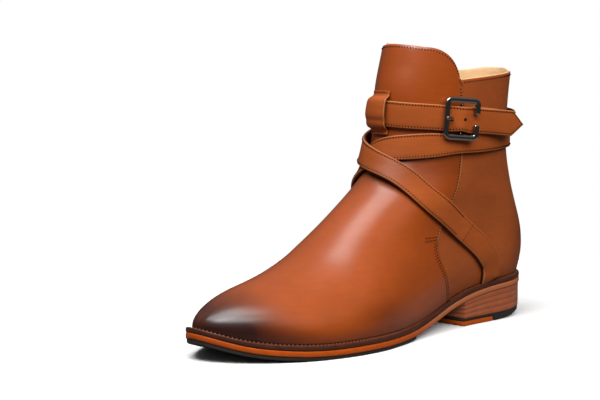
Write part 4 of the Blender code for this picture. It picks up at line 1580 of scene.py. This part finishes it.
# The photograph's frame and focal length in pixels, where the instep lies in it, and its roll in degrees.
IMAGE_WIDTH = 600
IMAGE_HEIGHT = 400
FOCAL_PIXELS = 1698.0
SENSOR = 36.0
INSTEP_PIXEL = (365.75, 218.16)
ROLL = 0.44
INSTEP_POINT = (150.0, 0.0, 80.0)


def direction(azimuth, elevation):
    """The way from the boot to a camera or a light, by degrees round from the toe and up."""
    a, e = math.radians(azimuth), math.radians(elevation)
    return Vector((math.sin(a) * math.cos(e), -math.cos(a) * math.cos(e), math.sin(e)))


def build_camera():
    """Camera at the photograph's angle, turned so that the boot stands right of the middle."""
    stage = bpy.context.scene.boot_stage
    back = direction(stage.azimuth, stage.elevation)
    data = bpy.data.cameras.new("camera")
    data.sensor_width = SENSOR
    data.lens = FOCAL_PIXELS / IMAGE_WIDTH * SENSOR
    camera = new_object("camera", data)
    camera.location = Vector(place(*INSTEP_POINT)) + back * stage.distance
    pan = math.atan((INSTEP_PIXEL[0] - IMAGE_WIDTH / 2) / FOCAL_PIXELS)
    tilt = math.atan((INSTEP_PIXEL[1] - IMAGE_HEIGHT / 2) / FOCAL_PIXELS)
    turned = (-back).to_track_quat("-Z", "Y") @ Euler((tilt, pan, math.radians(ROLL)), "XYZ").to_quaternion()
    camera.rotation_euler = turned.to_euler()
    bpy.context.scene.camera = camera


def softbox(name, power, azimuth, elevation, distance, size, shine):
    """A rectangular soft light aimed at the boot's middle; without shine, as behind a polarising sheet."""
    back = direction(azimuth, elevation)
    data = bpy.data.lights.new(name, "AREA")
    data.shape = "RECTANGLE"
    data.size, data.size_y = size
    data.energy = power
    light = new_object(name, data)
    light.visible_glossy = shine
    light.location = Vector((0.0, 0.0, AIM_HEIGHT)) + back * distance
    light.rotation_euler = (-back).to_track_quat("-Z", "Y").to_euler()


def build_floor():
    """Round white table."""
    mesh = bpy.data.meshes.new("floor")
    turn = np.linspace(0, 2 * math.pi, 96, endpoint=False)
    rim = np.stack([np.cos(turn), np.sin(turn), 0 * turn], axis=1) * TABLE_REACH
    mesh.from_pydata(rim.tolist(), [], [list(range(len(rim)))])
    mesh.materials.append(finish_of("white_paper_sweep"))
    floor = new_object("floor", mesh)


def build_stage():
    """Round white table in a dim room with a brighter ceiling, softboxes and camera."""
    stage = bpy.context.scene.boot_stage
    build_floor()
    world = bpy.data.worlds.new("surround")
    world.use_nodes = True
    tree = world.node_tree
    way = add(tree, "TexCoord", "Generated")
    rise = add(tree, "SeparateXYZ", "Z", {0: way})
    room = add(tree, "MapRange", 0, {0: rise, 1: 0.1, 2: 1.0, 3: ROOM_DIM, 4: stage.surround})
    seen = add(tree, "LightPath", "Is Camera Ray")
    level = add(tree, "Mix", 0, {0: seen, 2: room, 3: 1.0})
    fill(tree, tree.nodes["Background"], {"Color": (1.0, 1.0, 1.0, 1.0), "Strength": level})
    bpy.context.scene.world = world
    bpy.context.scene.view_settings.view_transform = "Standard"
    for name, values in SOFTBOXES.items():
        softbox(f"{name}_softbox", getattr(stage, f"{name}_light"), *values)
    build_camera()


class BOOT_OT_upper(bpy.types.Operator):
    """Make the vamp, the quarters and the lining"""

    bl_idname = "boot.upper"
    bl_label = "Upper"

    def execute(self, context):
        build_vamp()
        build_quarters()
        build_lining()
        return {"FINISHED"}


class BOOT_OT_sole(bpy.types.Operator):
    """Make the welt, the sole sheets and the sock"""

    bl_idname = "boot.sole"
    bl_label = "Sole"

    def execute(self, context):
        build_welt()
        build_sole()
        return {"FINISHED"}


class BOOT_OT_heel(bpy.types.Operator):
    """Make the stacked heel and its top pieces"""

    bl_idname = "boot.heel"
    bl_label = "Heel"

    def execute(self, context):
        build_heel()
        return {"FINISHED"}


class BOOT_OT_straps(bpy.types.Operator):
    """Make the wrapping straps and the front loop"""

    bl_idname = "boot.straps"
    bl_label = "Straps"

    def execute(self, context):
        build_straps()
        mark_straps()
        build_loop()
        return {"FINISHED"}


class BOOT_OT_buckle(bpy.types.Operator):
    """Make the buckle"""

    bl_idname = "boot.buckle"
    bl_label = "Buckle"

    def execute(self, context):
        build_buckle()
        return {"FINISHED"}


class BOOT_OT_sewing(bpy.types.Operator):
    """Sew the upper, the straps and the welt"""

    bl_idname = "boot.sewing"
    bl_label = "Sewing"

    def execute(self, context):
        sew_upper()
        sew_straps()
        sew_welt()
        return {"FINISHED"}


class BOOT_OT_stage(bpy.types.Operator):
    """Set the floor, the lights and the camera"""

    bl_idname = "boot.stage"
    bl_label = "Stage"

    def execute(self, context):
        build_stage()
        return {"FINISHED"}


OPERATORS = (
    BOOT_OT_upper,
    BOOT_OT_sole,
    BOOT_OT_heel,
    BOOT_OT_straps,
    BOOT_OT_buckle,
    BOOT_OT_sewing,
    BOOT_OT_stage,
)


class VIEW3D_PT_boot(bpy.types.Panel):
    """Colours, sizes and steps of the boot"""

    bl_label = "Boot"
    bl_idname = "VIEW3D_PT_boot"
    bl_space_type = "VIEW_3D"
    bl_region_type = "UI"
    bl_category = "Boot"

    def draw(self, context):
        for group in (context.scene.boot_colours, context.scene.boot_sizes, context.scene.boot_stage):
            box = self.layout.box()
            for name in group.__annotations__:
                box.prop(group, name)
        for operator in OPERATORS:
            self.layout.operator(operator.bl_idname)


GROUPS = {"boot_colours": BootColours, "boot_sizes": BootSizes, "boot_stage": BootStage}


def register():
    """Add the groups, the operators and the panel to Blender."""
    for group in GROUPS.values():
        bpy.utils.register_class(group)
    for name, group in GROUPS.items():
        setattr(bpy.types.Scene, name, PointerProperty(type=group))
    for operator in OPERATORS:
        bpy.utils.register_class(operator)
    bpy.utils.register_class(VIEW3D_PT_boot)


def unregister():
    """Take them out again."""
    bpy.utils.unregister_class(VIEW3D_PT_boot)
    for operator in reversed(OPERATORS):
        bpy.utils.unregister_class(operator)
    for name in GROUPS:
        delattr(bpy.types.Scene, name)
    for group in reversed(list(GROUPS.values())):
        bpy.utils.unregister_class(group)


def main():
    """Build the boot and its stage."""
    register()
    bpy.ops.boot.upper()
    bpy.ops.boot.sole()
    bpy.ops.boot.heel()
    bpy.ops.boot.straps()
    bpy.ops.boot.buckle()
    bpy.ops.boot.sewing()
    bpy.ops.boot.stage()


if __name__ == "__main__":
    main()
